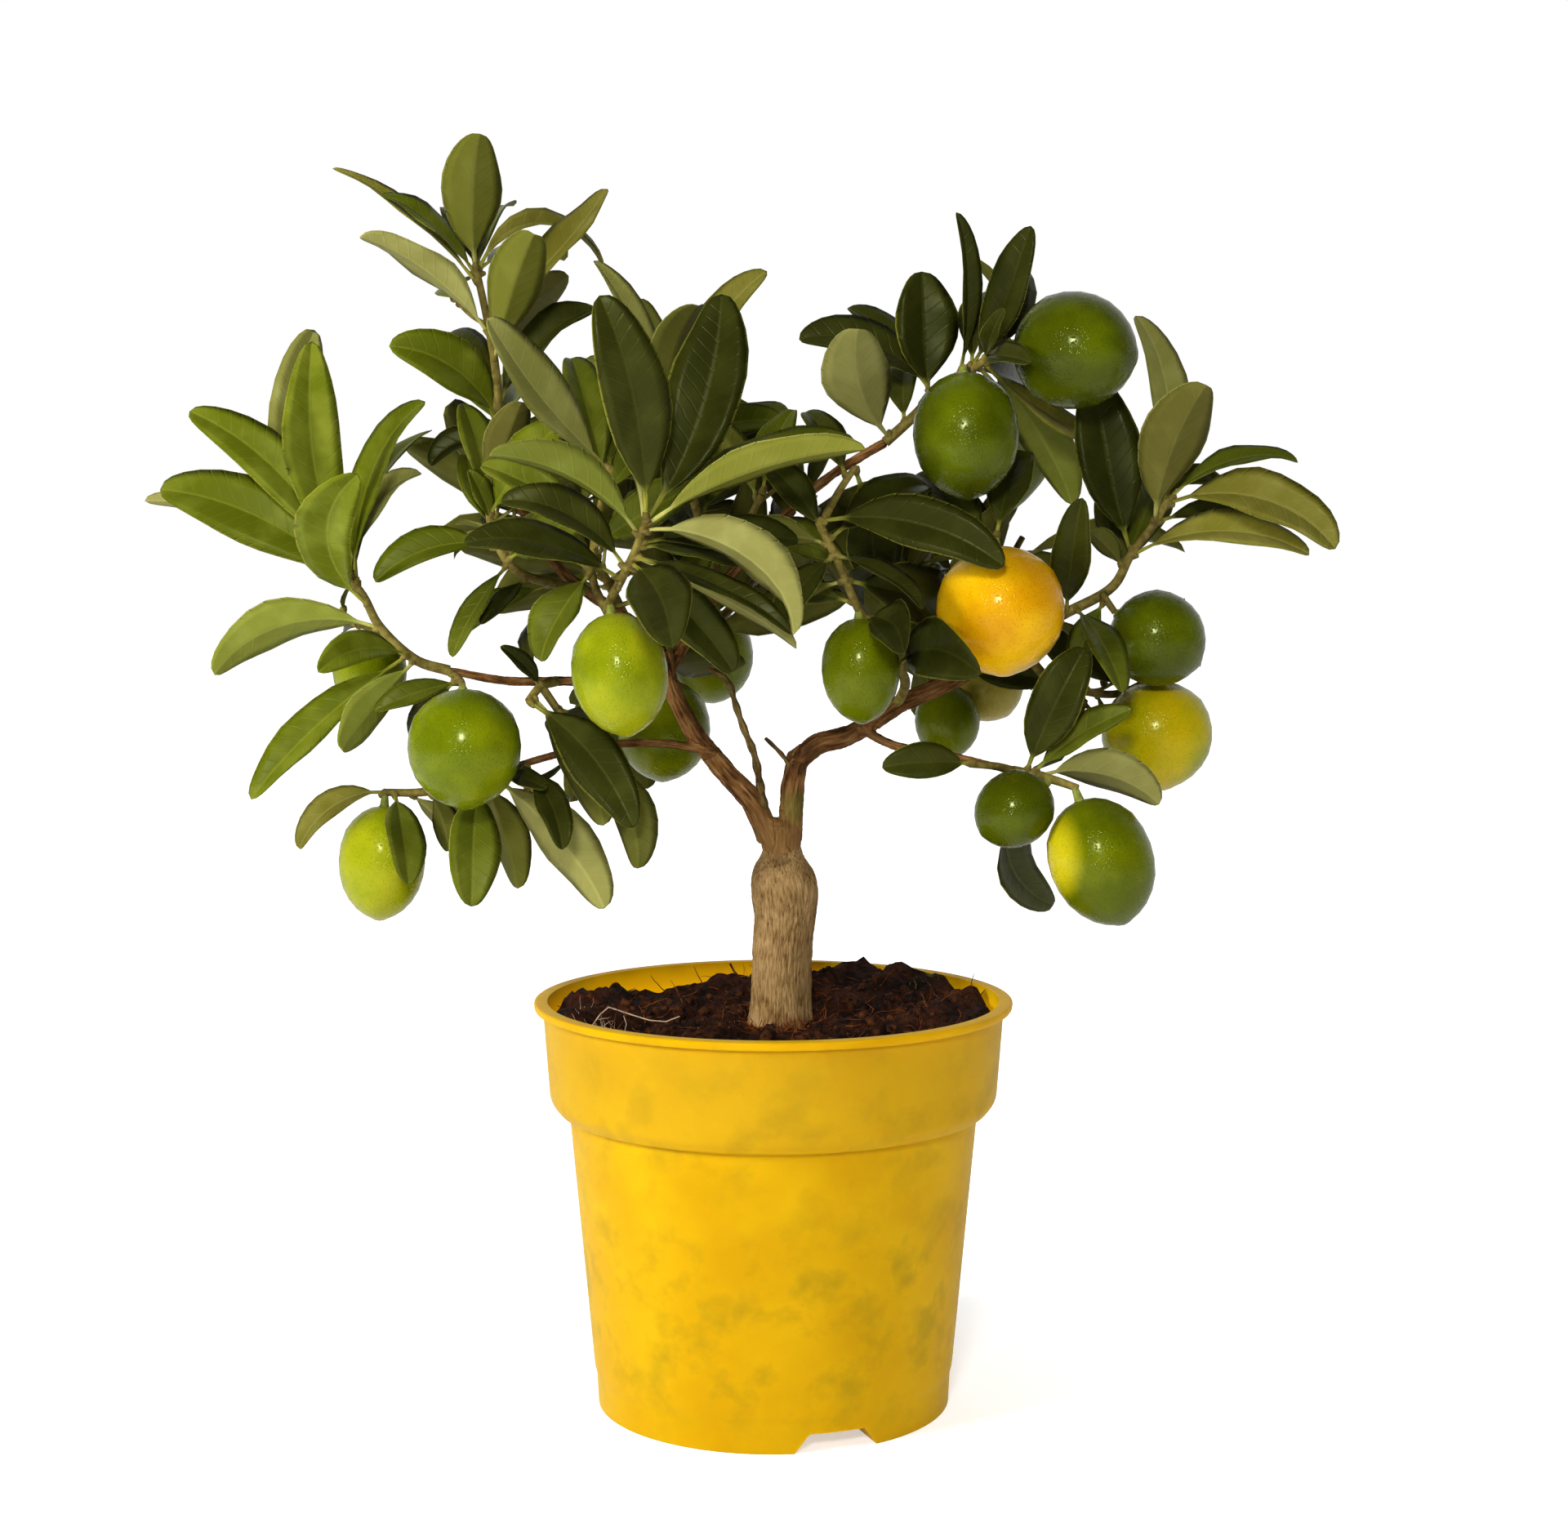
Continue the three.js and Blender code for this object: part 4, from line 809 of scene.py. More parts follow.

# ---------------------------------------------------------------- The crown's plan
# The shoots, leaves and fruit of the crown, mass by mass, as they stand in the photo. Each mass
# grows from one stem on a limb, and its other shoots grow from that stem.

# A shoot: its start as (parent shoot, share of it), then the places it passes in mm.
# A leaf: share of the shoot, clock direction from the front, lean to the front (degrees), length
# and width (mm), how far its upper side turns up from facing the front, the arch of its midrib
# where it shows one (degrees), and its tone where that differs.
# A fruit: share, clock direction, lean, stalk, width, length and ripeness, then where given how
# strongly light from the front left is painted on its side.
# Hidden: how many more leaves the growth rule sets behind those.
CROWN = [
    ("top_left_mass", [
        dict(
            path=[(-99, 6, 345), (-102, 4, 366), (-102.5, 2, 386), (-105, 0, 404), (-109, -2, 424)],
            tone="bright",
            leaves=[
                (1, 4, 20, 51, 24, 165, 26, "mid"),
                (0.97, 312, 20, 46, 15, 60, 30),
                (0.93, 310, 5, 68, 10, 58, 20, "olive"),
                (0.7, 308, 25, 61, 20, 128, 35, "pale"),
                (0.58, 24, 42, 65, 24, 170, 20, "mid"),
                (0.66, 42, -45, 54, 20, 145, "pale"),
                (0.78, 42, -12, 67, 19, 45, -20, "olive"),
                (0.98, 82, -35, 62, 13, 45, 115, "olive"),
                (0.98, 13, -55, 60, 16, 30),
                (0.99, 333, -50, 46, 14, 30, "dark"),
                (0.29, 308, 15, 54, 24, 25, 62),
                (0.23, 249, 10, 28, 14, 35, 50, "dark"),
                (0.42, 322, -40, 44, 18, 30, "dark"),
                (0.36, 42, -20, 55, 19, 35, 50, "dark"),
                (0.22, 306, -30, 20, 6, 40),
            ],
            hidden=4,
        ),
    ]),
    ("left_mass", [
        dict(
            path=[
                (-120, -6, 277), (-132, -8, 281), (-145, -12, 294), (-150, -16, 305),
                (-156, -18, 313),
            ],
            tone="bright",
            leaves=[
                (0.8, 298, 10, 85, 28, 25, 50),
                (0.84, 292, -14, 93, 14, 140, 46, "pale"),
                (1, 316, -6, 84, 22, 25, 40),
                (1, 349, -26, 104, 26, 25, -62, "pale"),
                (0.97, 354, 12, 86, 24, 12, -22),
                (0.9, 19, -4, 73, 19, 40, 50),
                (0.88, 18, -40, 84, 18, 45, 50, "mid"),
                (0.95, 30, -40, 50, 18, 40, 60, "pale"),
                (0.74, 5, 45, 66, 26, 10, 85),
                (0.55, 256, -2, 65, 21, 145, 65, "bright"),
                (0.52, 275, 18, 43, 22, 15, 80),
                (0.3, 227, 22, 79, 19, 30, 14),
                (0.24, 217, 30, 52, 17, 150, 10),
                (0.28, 264, 32, 45, 16, 35, 45),
            ],
            hidden=4,
        ),
        dict(
            start=(0, 0.02),
            path=[(-115, -16, 274), (-112, -33, 273)],
            fruits=[(1, 178, 6, 1, 41, 44, 0.25)],
            leaves=[
                (0.5, 252, 10, 34, 12, 35, "mid"),
                (0.3, 214, -22, 35, 15, 30, "dark"),
            ],
        ),
        dict(
            start=(0, 0.36),
            path=[(-146, 2, 290), (-152, 8, 292)],
            fruits=[(1, 182, -20, 2, 28, 32, 0.25)],
        ),
    ]),
    ("lower_left_mass", [
        dict(
            path=[(-104, -8, 239), (-117, -9, 234.5), (-131, -9, 232), (-144, -9, 232)],
            fruits=[(1, 183, 2, 5, 32, 43, 0.4, 0.5)],
            leaves=[
                (0.98, 237, 0, 39, 15, 40, 80, "olive"),
                (0.92, 163, 44, 44, 17, 30),
                (0.78, 137, -5, 28, 11, 150, "pale"),
                (0.6, 157, 30, 26, 14, 160, 30, "dark"),
                (0.55, 160, -15, 30, 14, 30, 30),
                (0.14, 180, 30, 51, 21, 15),
                (0.1, 165, -20, 48, 20, 160, "mid"),
                (0.02, 138, 8, 66, 25, 165, 30, "pale"),
            ],
            hidden=4,
        ),
        dict(
            start=(0, 0.03),
            path=[(-98, -16, 241), (-91, -20, 243)],
            tone="dark",
            leaves=[
                (1, 153, 25, 36, 15, 20, 30),
                (0.6, 110, 30, 22, 9, 30),
            ],
        ),
    ]),
    ("front_left_mass", [
        dict(
            path=[(-80, -12, 273.5), (-85, -20, 272), (-89, -26, 267)],
            tone="dark",
            leaves=[
                (1, 138, 20, 62, 22, 10, 30),
                (0.85, 150, -8, 54, 21, 165, 30),
                (0.5, 320, 40, 26, 9, 40),
            ],
            hidden=2,
        ),
        dict(
            start=(0, 0.5),
            path=[(-72, -20, 254), (-64, -22, 246)],
            tone="dark",
            leaves=[
                (0.9, 157, 15, 47, 20, 165, 40),
                (0.3, 141, -20, 46, 18, 30, 30),
            ],
        ),
    ]),
    ("mid_left_mass", [
        dict(
            path=[
                (-70, 11, 306), (-82, 4, 309), (-95, -5, 314), (-102, -10, 325), (-105, -12, 340),
            ],
            leaves=[
                (0.7, 254, 15, 47, 18, 35, 65, "bright"),
                (0.58, 210, 22, 42, 12, 35, 20, "mid"),
                (0.42, 224, 35, 28, 9, 35, 10, "dark"),
                (0.86, 340, 10, 22, 11, 40),
                (0.8, 338, -24, 34, 15, 20),
                (1, 345, 5, 38, 16, 30),
                (0.9, 40, 25, 50, 19, 20, "bright"),
                (0.6, 60, 30, 46, 18, 20),
                (1, 23, 25, 42, 17, 160, "olive"),
            ],
            hidden=4,
        ),
    ]),
    ("front_mass", [
        dict(
            path=[
                (-39.6, -8, 280), (-48, -30, 286), (-58, -52, 300), (-52, -66, 313),
                (-47, -76, 322), (-43, -85, 332),
            ],
            tone="dark",
            fruits=[(0.58, 172, 6, 4, 34, 44, 0.4, 0.55)],
            leaves=[
                (1, 350, 15, 78, 26, 20, 28),
                (1, 18, -12, 84, 29, 10, -33),
                (0.98, 71, 15, 82, 20, 132, 31, "mid"),
                (0.95, 65, -22, 88, 18, 40, 30, "mid"),
                (0.96, 122, 25, 71, 24, 140, 74, "pale"),
                (0.84, 117, 15, 67, 15, 135, 0, "pale"),
                (0.83, 113, 12, 66, 11, 40),
                (0.8, 148, 48, 62, 25, 10, 30),
                (0.78, 136, -15, 54, 20, 20, 20),
                (0.88, 98, 5, 44, 16, 40, 20),
                (0.9, 89, -30, 58, 17, 30, 20),
                (0.76, 301, 15, 50, 19, 40, 50),
                (0.93, 299, 20, 60, 21, 135, 50, "bright"),
                (0.7, 286, 35, 60, 18, 45, 40),
                (0.99, 345, 22, 54, 8, 140, 10, "pale"),
            ],
            hidden=4,
        ),
        dict(
            start=(0, 0.5),
            path=[(-64, -44, 312), (-62, -40, 334), (-58, -38, 350)],
            leaves=[
                (1, 322, 22, 71, 24, 40, -8, "pale"),
                (0.9, 344, -25, 56, 19, 20),
                (0.96, 356, -40, 52, 17, 20),
                (0.6, 300, -35, 48, 17, 30),
                (0.5, 60, 20, 50, 18, 20),
                (0.8, 40, -20, 50, 18, 20),
                (0.35, 285, 10, 46, 16, 40),
                (0.33, 211, 20, 38, 21, 35, "mid"),
            ],
            hidden=3,
        ),
    ]),
    ("centre_mass", [
        dict(
            path=[(-20, 8, 306), (-26, 12, 326), (-33, 12, 350), (-42, 8, 372)],
            leaves=[
                (1, 36, 5, 66, 19, 35, 20, "olive"),
                (0.95, 20, 50, 66, 20, 150, "dark"),
                (1, 337, 0, 62, 15, 45, "pale"),
                (1, 350, -15, 46, 17, 150, "dark"),
                (0.8, 315, -20, 50, 18, 30, "pale"),
                (0.7, 60, -20, 50, 18, 30),
                (0.55, 70, 20, 46, 17, 30),
                (0.85, 80, -30, 44, 16, 30),
                (0.6, 290, 20, 50, 18, 30),
                (0.4, 35, -30, 50, 18, 30),
            ],
            hidden=4,
        ),
        dict(
            start=(0, 0.35),
            path=[(-12, 0, 330), (-4, -10, 342)],
            leaves=[
                (1, 20, -20, 36, 15, 30),
                (0.9, 330, 20, 36, 15, 150),
                (0.6, 110, 30, 44, 17, 30),
                (0.5, 150, 25, 40, 16, 150),
                (0.2, 200, 30, 40, 16, 30),
            ],
            hidden=3,
        ),
    ]),
    ("top_right_mass", [
        dict(
            path=[(41, -12, 361), (52, -14, 371), (62, -17, 382), (71, -19, 386.5), (86, -24, 397)],
            tone="dark",
            fruits=[(0.97, 97, 15, 2.5, 42, 45, 0.05)],
            leaves=[
                (0.42, 292, 5, 53, 20, 35, 62),
                (0.4, 319, -25, 50, 17, 40, 30),
                (0.04, 341, 20, 52, 27, 172, -45, "pale"),
                (0.16, 4, -20, 34, 15, 20),
                (0.38, 357, 0, 46, 27, 15, -5),
                (0.62, 359, 20, 60, 12, 40),
                (0.68, 21, 6, 56, 18, 30, -28),
                (0.7, 10, -40, 40, 14, 20),
                (0.82, 104, 48, 34, 13, 30),
                (0.8, 16, 52, 28, 9, 40),
                (0.78, 122, 12, 64, 12, 35, -12, "olive"),
                (0.78, 143, -30, 78, 22, 150, 30, "bright"),
                (0.74, 157, -48, 102, 24, 20, 30, "bright"),
            ],
            hidden=4,
        ),
        dict(
            start=(0, 0.62),
            path=[(70, -26, 386), (68, -34, 387)],
            fruits=[(1, 178, 8, 2, 38, 46, 0.08)],
        ),
    ]),
    ("right_mass", [
        dict(
            path=[
                (106, -10, 297.5), (125, -12, 308.5), (131, -14, 320), (139, -16, 331),
                (144, -17, 340),
            ],
            leaves=[
                (0.6, 348, -15, 66, 29, 10, -5, "dark"),
                (0.86, 357, -15, 80, 19, 25, 42, "pale"),
                (0.84, 14, 38, 63, 27, 172, 35, "olive"),
                (0.97, 105, 20, 64, 23, 25, 68, "olive"),
                (1, 73, -8, 52, 12, 50, 62, "mid"),
                (0.95, 84, 5, 28, 9, 20, 150, "dark"),
                (0.84, 93, -20, 54, 14, 35, 40, "dark"),
                (0.58, 89, 15, 65, 18, 45, 60, "olive"),
                (0.5, 344, -40, 36, 16, 150, "dark"),
                (0.5, 314, 30, 23, 11, 150, "dark"),
                (0.04, 3, 32, 49, 17, 20, "dark"),
                (0.1, 156, 50, 54, 16, 30),
            ],
            hidden=4,
        ),
        dict(
            start=(0, 0.3),
            path=[(121, -16, 305), (125, -18, 299)],
            fruits=[(1, 122, 5, 0.5, 35, 36, 0.05)],
            leaves=[
                (0.5, 200, -20, 30, 13, 30),
            ],
        ),
    ]),
    ("right_low_mass", [
        dict(
            path=[(92, -8.5, 288), (100, 0, 276), (112, 4, 270), (128, 0, 268), (140, -4, 273.5)],
            tone="dark",
            fruits=[(1, 173, 6, 0.5, 41, 41, 0.6)],
            leaves=[
                (0.45, 281, 5, 34, 17, 20),
                (0.6, 320, 10, 34, 14, 30),
                (0.85, 300, -10, 34, 14, 30),
            ],
            hidden=4,
        ),
    ]),
    ("mid_right_mass", [
        dict(
            path=[
                (46, -5, 264), (48, -22, 275), (37, -36, 290), (29.5, -44, 303), (23, -49, 318),
                (16, -52, 332),
            ],
            tone="dark",
            fruits=[(0.62, 178, 2, 3, 28, 38, 0.15)],
            leaves=[
                (1, 103, 15, 68, 22, 15, 40),
                (0.92, 60, -30, 50, 19, 30),
                (0.8, 129, -50, 36, 18, 20),
                (0.86, 119, 30, 41, 13, 55),
                (0.58, 130, 40, 47, 19, 10, 40),
                (0.3, 90, 48, 50, 27, 10, 60),
                (0.75, 102, -30, 48, 25, 15),
                (0.9, 280, 10, 34, 13, 150),
                (0.86, 220, 25, 36, 14, 30),
                (0.75, 250, 30, 40, 14, 150),
                (0.95, 320, -10, 36, 15, 30),
                (0.65, 280, -20, 40, 15, 30),
            ],
            hidden=4,
        ),
        dict(
            start=(0, 0.98),
            path=[(23, -48, 342), (29, -44, 351)],
            tone="dark",
            leaves=[
                (1, 169, -25, 54, 26, 10, 20),
                (0.8, 330, -30, 34, 15, 30),
            ],
        ),
        dict(
            start=(0, 0.35),
            path=[(62, -30, 296), (74, -32, 314), (80, -34, 326)],
            tone="dark",
            fruits=[(1, 177, 14, 3.5, 46, 47, 0.97)],
            leaves=[
                (1, 20, -15, 44, 18, 20),
                (0.9, 320, -20, 44, 18, 30),
            ],
            hidden=4,
        ),
    ]),
    ("lower_right_mass", [
        dict(
            path=[(86, -42, 243), (93, -46, 242), (100, -50, 240.5), (108, -54, 238)],
            fruits=[(0.6, 233, 15, 3, 27, 30, 0.02), (0.95, 160, 6, 5, 37, 47, 0.15, 1)],
            leaves=[
                (0.2, 24, 0, 50, 22, 10, "dark"),
                (0.3, 55, 12, 43, 14, 40, 30, "mid"),
                (0.4, 102, 30, 44, 21, 145, 60, "pale"),
                (0.3, 165, -34, 84, 20, 30, -72, "dark"),
            ],
            hidden=3,
        ),
        dict(
            start=(0, 0.05),
            path=[(80, -46, 245), (70, -48, 246)],
            leaves=[
                (0.9, 270, 15, 34, 16, 20, 20, "dark"),
            ],
        ),
    ]),
    # The masses at the back take the dark tone: painted shade for the shadow of the crown in front
    ("back_left_mass", [
        dict(
            path=[(-56, 7, 297), (-62, 30, 306), (-70, 58, 318), (-76, 88, 330)],
            tone="dark",
            hidden=10,
        ),
        dict(
            start=(0, 0.35),
            path=[(-48, 50, 322), (-40, 70, 340)],
            tone="dark",
            hidden=8,
        ),
        dict(
            start=(0, 0.45),
            path=[(-80, 55, 324), (-91, 62, 333)],
            fruits=[(0.9, 175, -10, 3, 27, 30, 0.4)],
            tone="dark",
            hidden=7,
        ),
    ]),
    ("back_low_mass", [
        dict(
            path=[(-35, -6, 266), (-38, 14, 272), (-42, 34, 276), (-50, 58, 280), (-60, 84, 284)],
            fruits=[(0.42, 182, 0, 4, 36, 40, 0.25)],
            tone="dark",
            hidden=10,
        ),
    ]),
    ("back_mass", [
        dict(
            path=[(-33, 2, 287), (-24, 24, 292), (-12, 52, 304), (-4, 84, 318)],
            tone="dark",
            hidden=10,
        ),
        dict(
            start=(0, 0.45),
            path=[(8, 58, 318), (16, 66, 334)],
            tone="dark",
            hidden=9,
        ),
        dict(
            start=(0, 0.6),
            path=[(-22, 84, 300), (-28, 98, 298)],
            fruits=[(1, 176, -15, 2, 36, 40, 0.3)],
            tone="dark",
            hidden=6,
        ),
    ]),
    ("back_right_mass", [
        dict(
            path=[(58, -6.8, 270), (62, 16, 280), (66, 42, 292), (74, 76, 308)],
            fruits=[(0.6, 145, -2, 13, 30, 31, 0.75)],
            tone="dark",
            hidden=10,
        ),
        dict(
            start=(0, 0.55),
            path=[(88, 56, 310), (98, 62, 326)],
            tone="dark",
            hidden=8,
        ),
        dict(
            start=(0, 0.3),
            path=[(52, 28, 292), (46, 42, 312), (44, 50, 330)],
            tone="dark",
            hidden=8,
        ),
        dict(
            start=(0, 0.2),
            path=[(64, 18, 274), (66, 24, 272)],
            fruits=[(1, 178, -5, 2, 25, 29, 0.15)],
        ),
    ]),
]

# ---------------------------------------------------------------- The leaves
# Thick evergreen citrus leaves on short winged stalks: satin above, pale and matt below, folded up
# along the midrib, the tip curled back. Each grows by the rule of the part's source, clear of its
# neighbours, and is a blade of two skins that meet at its edge.
STALK_SHARE = 0.12
# The fold up along the midrib: of the rule's plain leaf, and of the blade that is built
FOLD = math.radians(18)
SEEN_FOLD = math.radians(28)
# The arch of a leaf whose row gives none (degrees)
PLAIN_BEND = 32
# The camera's place (mm); from there the leaves of the plan hide those behind
VIEWPOINT = np.array((4.0, -1004.0, 331.0))
CROWN_SEED = 7
# Least distances in mm; nearer to its foot than own_root times its length, a leaf may touch
APART = dict(own_leaf=1.2, other_leaf=2.6, wood=1.6, fruit=1.2, own_root=0.3, foot=9, rim=2)


def direction_of(clock, lean):
    clock, lean = math.radians(clock), math.radians(lean)
    level = math.cos(lean)
    return np.array((level * math.sin(clock), -math.sin(lean), level * math.cos(clock)))


def make_leaf(shoot, share, direction, size, upper, rise, bend):
    across = np.cross(direction, rise)
    return dict(
        foot=shoot["curve"].at(share), direction=direction, rise=rise, across=across,
        up=upper.dot(rise), turned=upper.dot(across), length=size[0], width=size[1],
        bend=math.radians(bend), mass=shoot["mass"], tone=shoot["tone"],
    )


def leaf_frame(leaf, share):
    """The midrib's place at a share of the leaf, with its upper side and the way across it."""
    angle = leaf["bend"] * (0.5 - share)
    end = leaf["bend"] / 2
    straight = np.abs(leaf["bend"]) < 0.01
    chord = np.where(straight, 1, 2 * np.sin(end))
    along = np.where(straight, share, (np.sin(end) - np.sin(angle)) / chord)
    lift = np.where(straight, 0, (np.cos(angle) - np.cos(end)) / chord)
    rib = leaf["foot"] + leaf["direction"] * (along * leaf["length"])[..., None]
    rib = rib + leaf["rise"] * (lift * leaf["length"])[..., None]
    rise = leaf["rise"] * np.cos(angle)[..., None] - leaf["direction"] * np.sin(angle)[..., None]
    up, turned = np.asarray(leaf["up"])[..., None], np.asarray(leaf["turned"])[..., None]
    return rib, rise * up + leaf["across"] * turned, leaf["across"] * up - rise * turned


def half_width(leaf, share):
    run = np.clip((share - STALK_SHARE) / (1 - STALK_SHARE), 0, 1)
    blade = leaf["width"] / 2 * np.abs(np.sin(np.pi * run**0.85)) ** 0.8
    return np.where(share < STALK_SHARE, 1, np.maximum(blade, 1 - run))


def leaf_places(leaf, shares, spans):
    rib, upper, side = leaf_frame(leaf, shares)
    reach = spans * half_width(leaf, shares)
    out = side * (reach * math.cos(FOLD))[..., None]
    return rib + out + upper * (np.abs(reach) * math.sin(FOLD))[..., None]


# The places on a leaf at which its distances are measured
SAMPLE_GRID = np.meshgrid(np.arange(2, 15) / 14, (-1, -0.5, 0, 0.5, 1), indexing="ij")
SAMPLE_SHARES, SAMPLE_SPANS = (grid.ravel() for grid in SAMPLE_GRID)


def near_leaf(places, leaf, gap):
    offset = places - leaf["foot"]
    share = np.sum(offset * leaf["direction"], axis=-1) / leaf["length"]
    capped = np.minimum(share, 1)
    rib, upper, side = leaf_frame(leaf, capped)
    offset = places - rib
    across = np.abs(np.sum(offset * side, axis=-1))
    lift = np.abs(np.sum(offset * upper, axis=-1) - across * math.tan(FOLD))
    inside = (share >= 0.1) & (share <= 1.04)
    return inside & (across <= half_width(leaf, capped) + gap) & (lift < gap)


def far_from(places, foot, reach):
    return np.sum((places - foot) ** 2, axis=-1) > np.asarray(reach) ** 2


limb_centres = [tube_run(curve, radii, 2) for curve, radii in limb_curves.values()]
limb_centres.append(np.array([(x, 0, z, radius) for z, x, radius in TRUNK]))
limb_centres = np.vstack(limb_centres)
shoots, fruits = [], []
for mass, mass_shoots in CROWN:
    grown = []
    for index, plan in enumerate(mass_shoots):
        path = list(plan["path"])
        if "start" in plan:
            parent, share = plan["start"]
            path.insert(0, tuple(grown[parent]["curve"].at(share)))
        radii = (2, 1.4) if index == 0 else (1.6, 1.25)
        shoot = dict(plan, mass=mass, curve=Curve(path), radii=radii, tone=plan.get("tone", "mid"))
        shoot["run"] = tube_run(shoot["curve"], radii, 2)
        grown.append(shoot)
        shoots.append(shoot)
        for share, clock, lean, stalk, width, length, ripeness, *painted_light in plan.get("fruits", ()):
            foot, axis = shoot["curve"].at(share), direction_of(clock, lean)
            fruits.append(
                dict(
                    foot=foot, axis=axis, top=foot + axis * stalk, width=width, length=length,
                    centre=foot + axis * (stalk + length / 2), mass=mass, ripeness=ripeness,
                    painted_light=painted_light[0] if painted_light else 0,
                )
            )

leaves = []
# What the test for room needs of each leaf, stacked over all leaves
STACKED = ("foot", "direction", "rise", "across", "up", "turned", "length", "width", "bend")


def near_tube(places, centres):
    apart = np.linalg.norm(places[:, None] - centres[None, :, :3], axis=-1)
    return bool(np.any(apart < centres[None, :, 3] + APART["wood"]))


def near_fruit(places, fruit):
    offset = places - fruit["centre"]
    along = offset @ fruit["axis"]
    across = np.sqrt(np.maximum(0, np.sum(offset**2, axis=1) - along**2))
    half_length = fruit["length"] / 2 + APART["fruit"]
    half_across = fruit["width"] / 2 + APART["fruit"]
    return bool(np.any(np.hypot(along / half_length, across / half_across) < 1))


def is_clear(leaf):
    """Whether a leaf keeps its distances from the pot, wood, fruit and leaves placed so far."""
    samples = leaf_places(leaf, SAMPLE_SHARES, SAMPLE_SPANS)
    outer = samples[far_from(samples, leaf["foot"], APART["foot"])]
    if near_tube(outer, limb_centres) or np.any(samples[:, 2] < POT_TOP + APART["rim"]):
        return False
    for own in (True, False):
        centres = [shoot["run"] for shoot in shoots if (shoot["mass"] == leaf["mass"]) == own]
        if centres and near_tube(outer if own else samples, np.vstack(centres)):
            return False
    for fruit in fruits:
        if near_fruit(outer if fruit["mass"] == leaf["mass"] else samples, fruit):
            return False
    if not leaves:
        return True
    others = {key: np.array([other[key] for other in leaves])[:, None] for key in STACKED}
    own = np.array([other["mass"] == leaf["mass"] for other in leaves])[:, None]
    gap = np.where(own, APART["own_leaf"], APART["other_leaf"])
    root = np.where(own, APART["own_root"] * leaf["length"], 0)
    placed = np.array([other["samples"] for other in leaves])
    for places, blades in ((samples[None], others), (placed, leaf)):
        away = far_from(places, leaf["foot"], root) & far_from(places, others["foot"], root)
        if np.any(near_leaf(places, blades, gap) & away):
            return False
    return True


def keep(leaf, seen):
    leaf["samples"] = leaf_places(leaf, SAMPLE_SHARES, SAMPLE_SPANS)
    leaf["seen"] = seen
    leaves.append(leaf)


# A leaf of the plan turns forward or back until it is clear, or is left out
TURNS = (0, 6, -6, 12, -12, 20, -20, 30, -30, 42, -42)
for shoot in shoots:
    for row in shoot.get("leaves", ()):
        tone = row[-1] if isinstance(row[-1], str) else shoot["tone"]
        numbers = [value for value in row if not isinstance(value, str)]
        share, clock, lean, length, width, face, *arch = numbers
        for turn in TURNS:
            direction = direction_of(clock, lean + turn)
            front = np.array((0, -1, 0)) + direction * direction[1]
            front /= np.linalg.norm(front)
            up = np.cross(direction, front)
            up = -up if up[2] < 0 else up
            upper = front * math.cos(math.radians(face)) + up * math.sin(math.radians(face))
            rise, bend = (up, arch[0]) if arch else (upper, PLAIN_BEND)
            leaf = make_leaf(shoot, share, direction, (length, width), upper, rise, bend)
            leaf["tone"] = tone
            if is_clear(leaf):
                keep(leaf, True)
                break


def bearings(places):
    """The places' directions from the viewpoint, as flat places in radians."""
    x, y, z = (places - VIEWPOINT).T
    return np.column_stack([np.arctan2(x, y), np.arctan2(z, y), np.zeros(len(places))])


cover = [leaf["samples"] for leaf in leaves]
for fruit in fruits:
    radius = min(fruit["width"], fruit["length"]) / 2
    spots = [
        direction_of(clock, 0) * share * radius
        for clock in range(0, 360, 15)
        for share in (0.3, 0.65, 0.95)
    ]
    cover.append(fruit["centre"] + np.array(spots))
cover = np.vstack(cover)
cover_depth, cover = cover[:, 1], bearings(cover)
cover_tree = KDTree(len(cover))
for i, place in enumerate(cover):
    cover_tree.insert(place, i)
cover_tree.balance()
# The rule for the leaves behind: places in mm, turns in degrees, reach in radians, else shares
BEHIND = dict(
    reach=0.0035, covered=0.95, foremost=-20, tries=7, turn=135, turn_spread=30, down=0.85,
    spread=(35, 85), length=(46, 72), slender=(0.28, 0.36), bend=(25, 55), droop=0.12,
)
# The golden share, which spreads the feet of the leaves along a shoot
GOLDEN = 0.618


def is_hidden(places, gap=None):
    """Whether leaves of the plan cover the places, by at least the gap where one is given."""
    covered = 0
    for place, depth in zip(bearings(places), places[:, 1]):
        _, nearest, apart = cover_tree.find(place)
        covered += apart < BEHIND["reach"] and (gap is None or depth > cover_depth[nearest] + gap)
    return covered >= BEHIND["covered"] * len(places)


def seeded_draws(seed):
    """The source's repeatable stream of shares from 0 to 1."""
    mask = 0xFFFFFFFF
    state = seed
    while True:
        state = (state + 0x6D2B79F5) & mask
        word = ((state ^ (state >> 15)) * (state | 1)) & mask
        word = ((word + (((word ^ (word >> 7)) * (word | 61)) & mask)) & mask) ^ word
        yield ((word ^ (word >> 14)) & mask) / (mask + 1)


draws = seeded_draws(CROWN_SEED)


def between(span):
    return span[0] + (span[1] - span[0]) * next(draws)


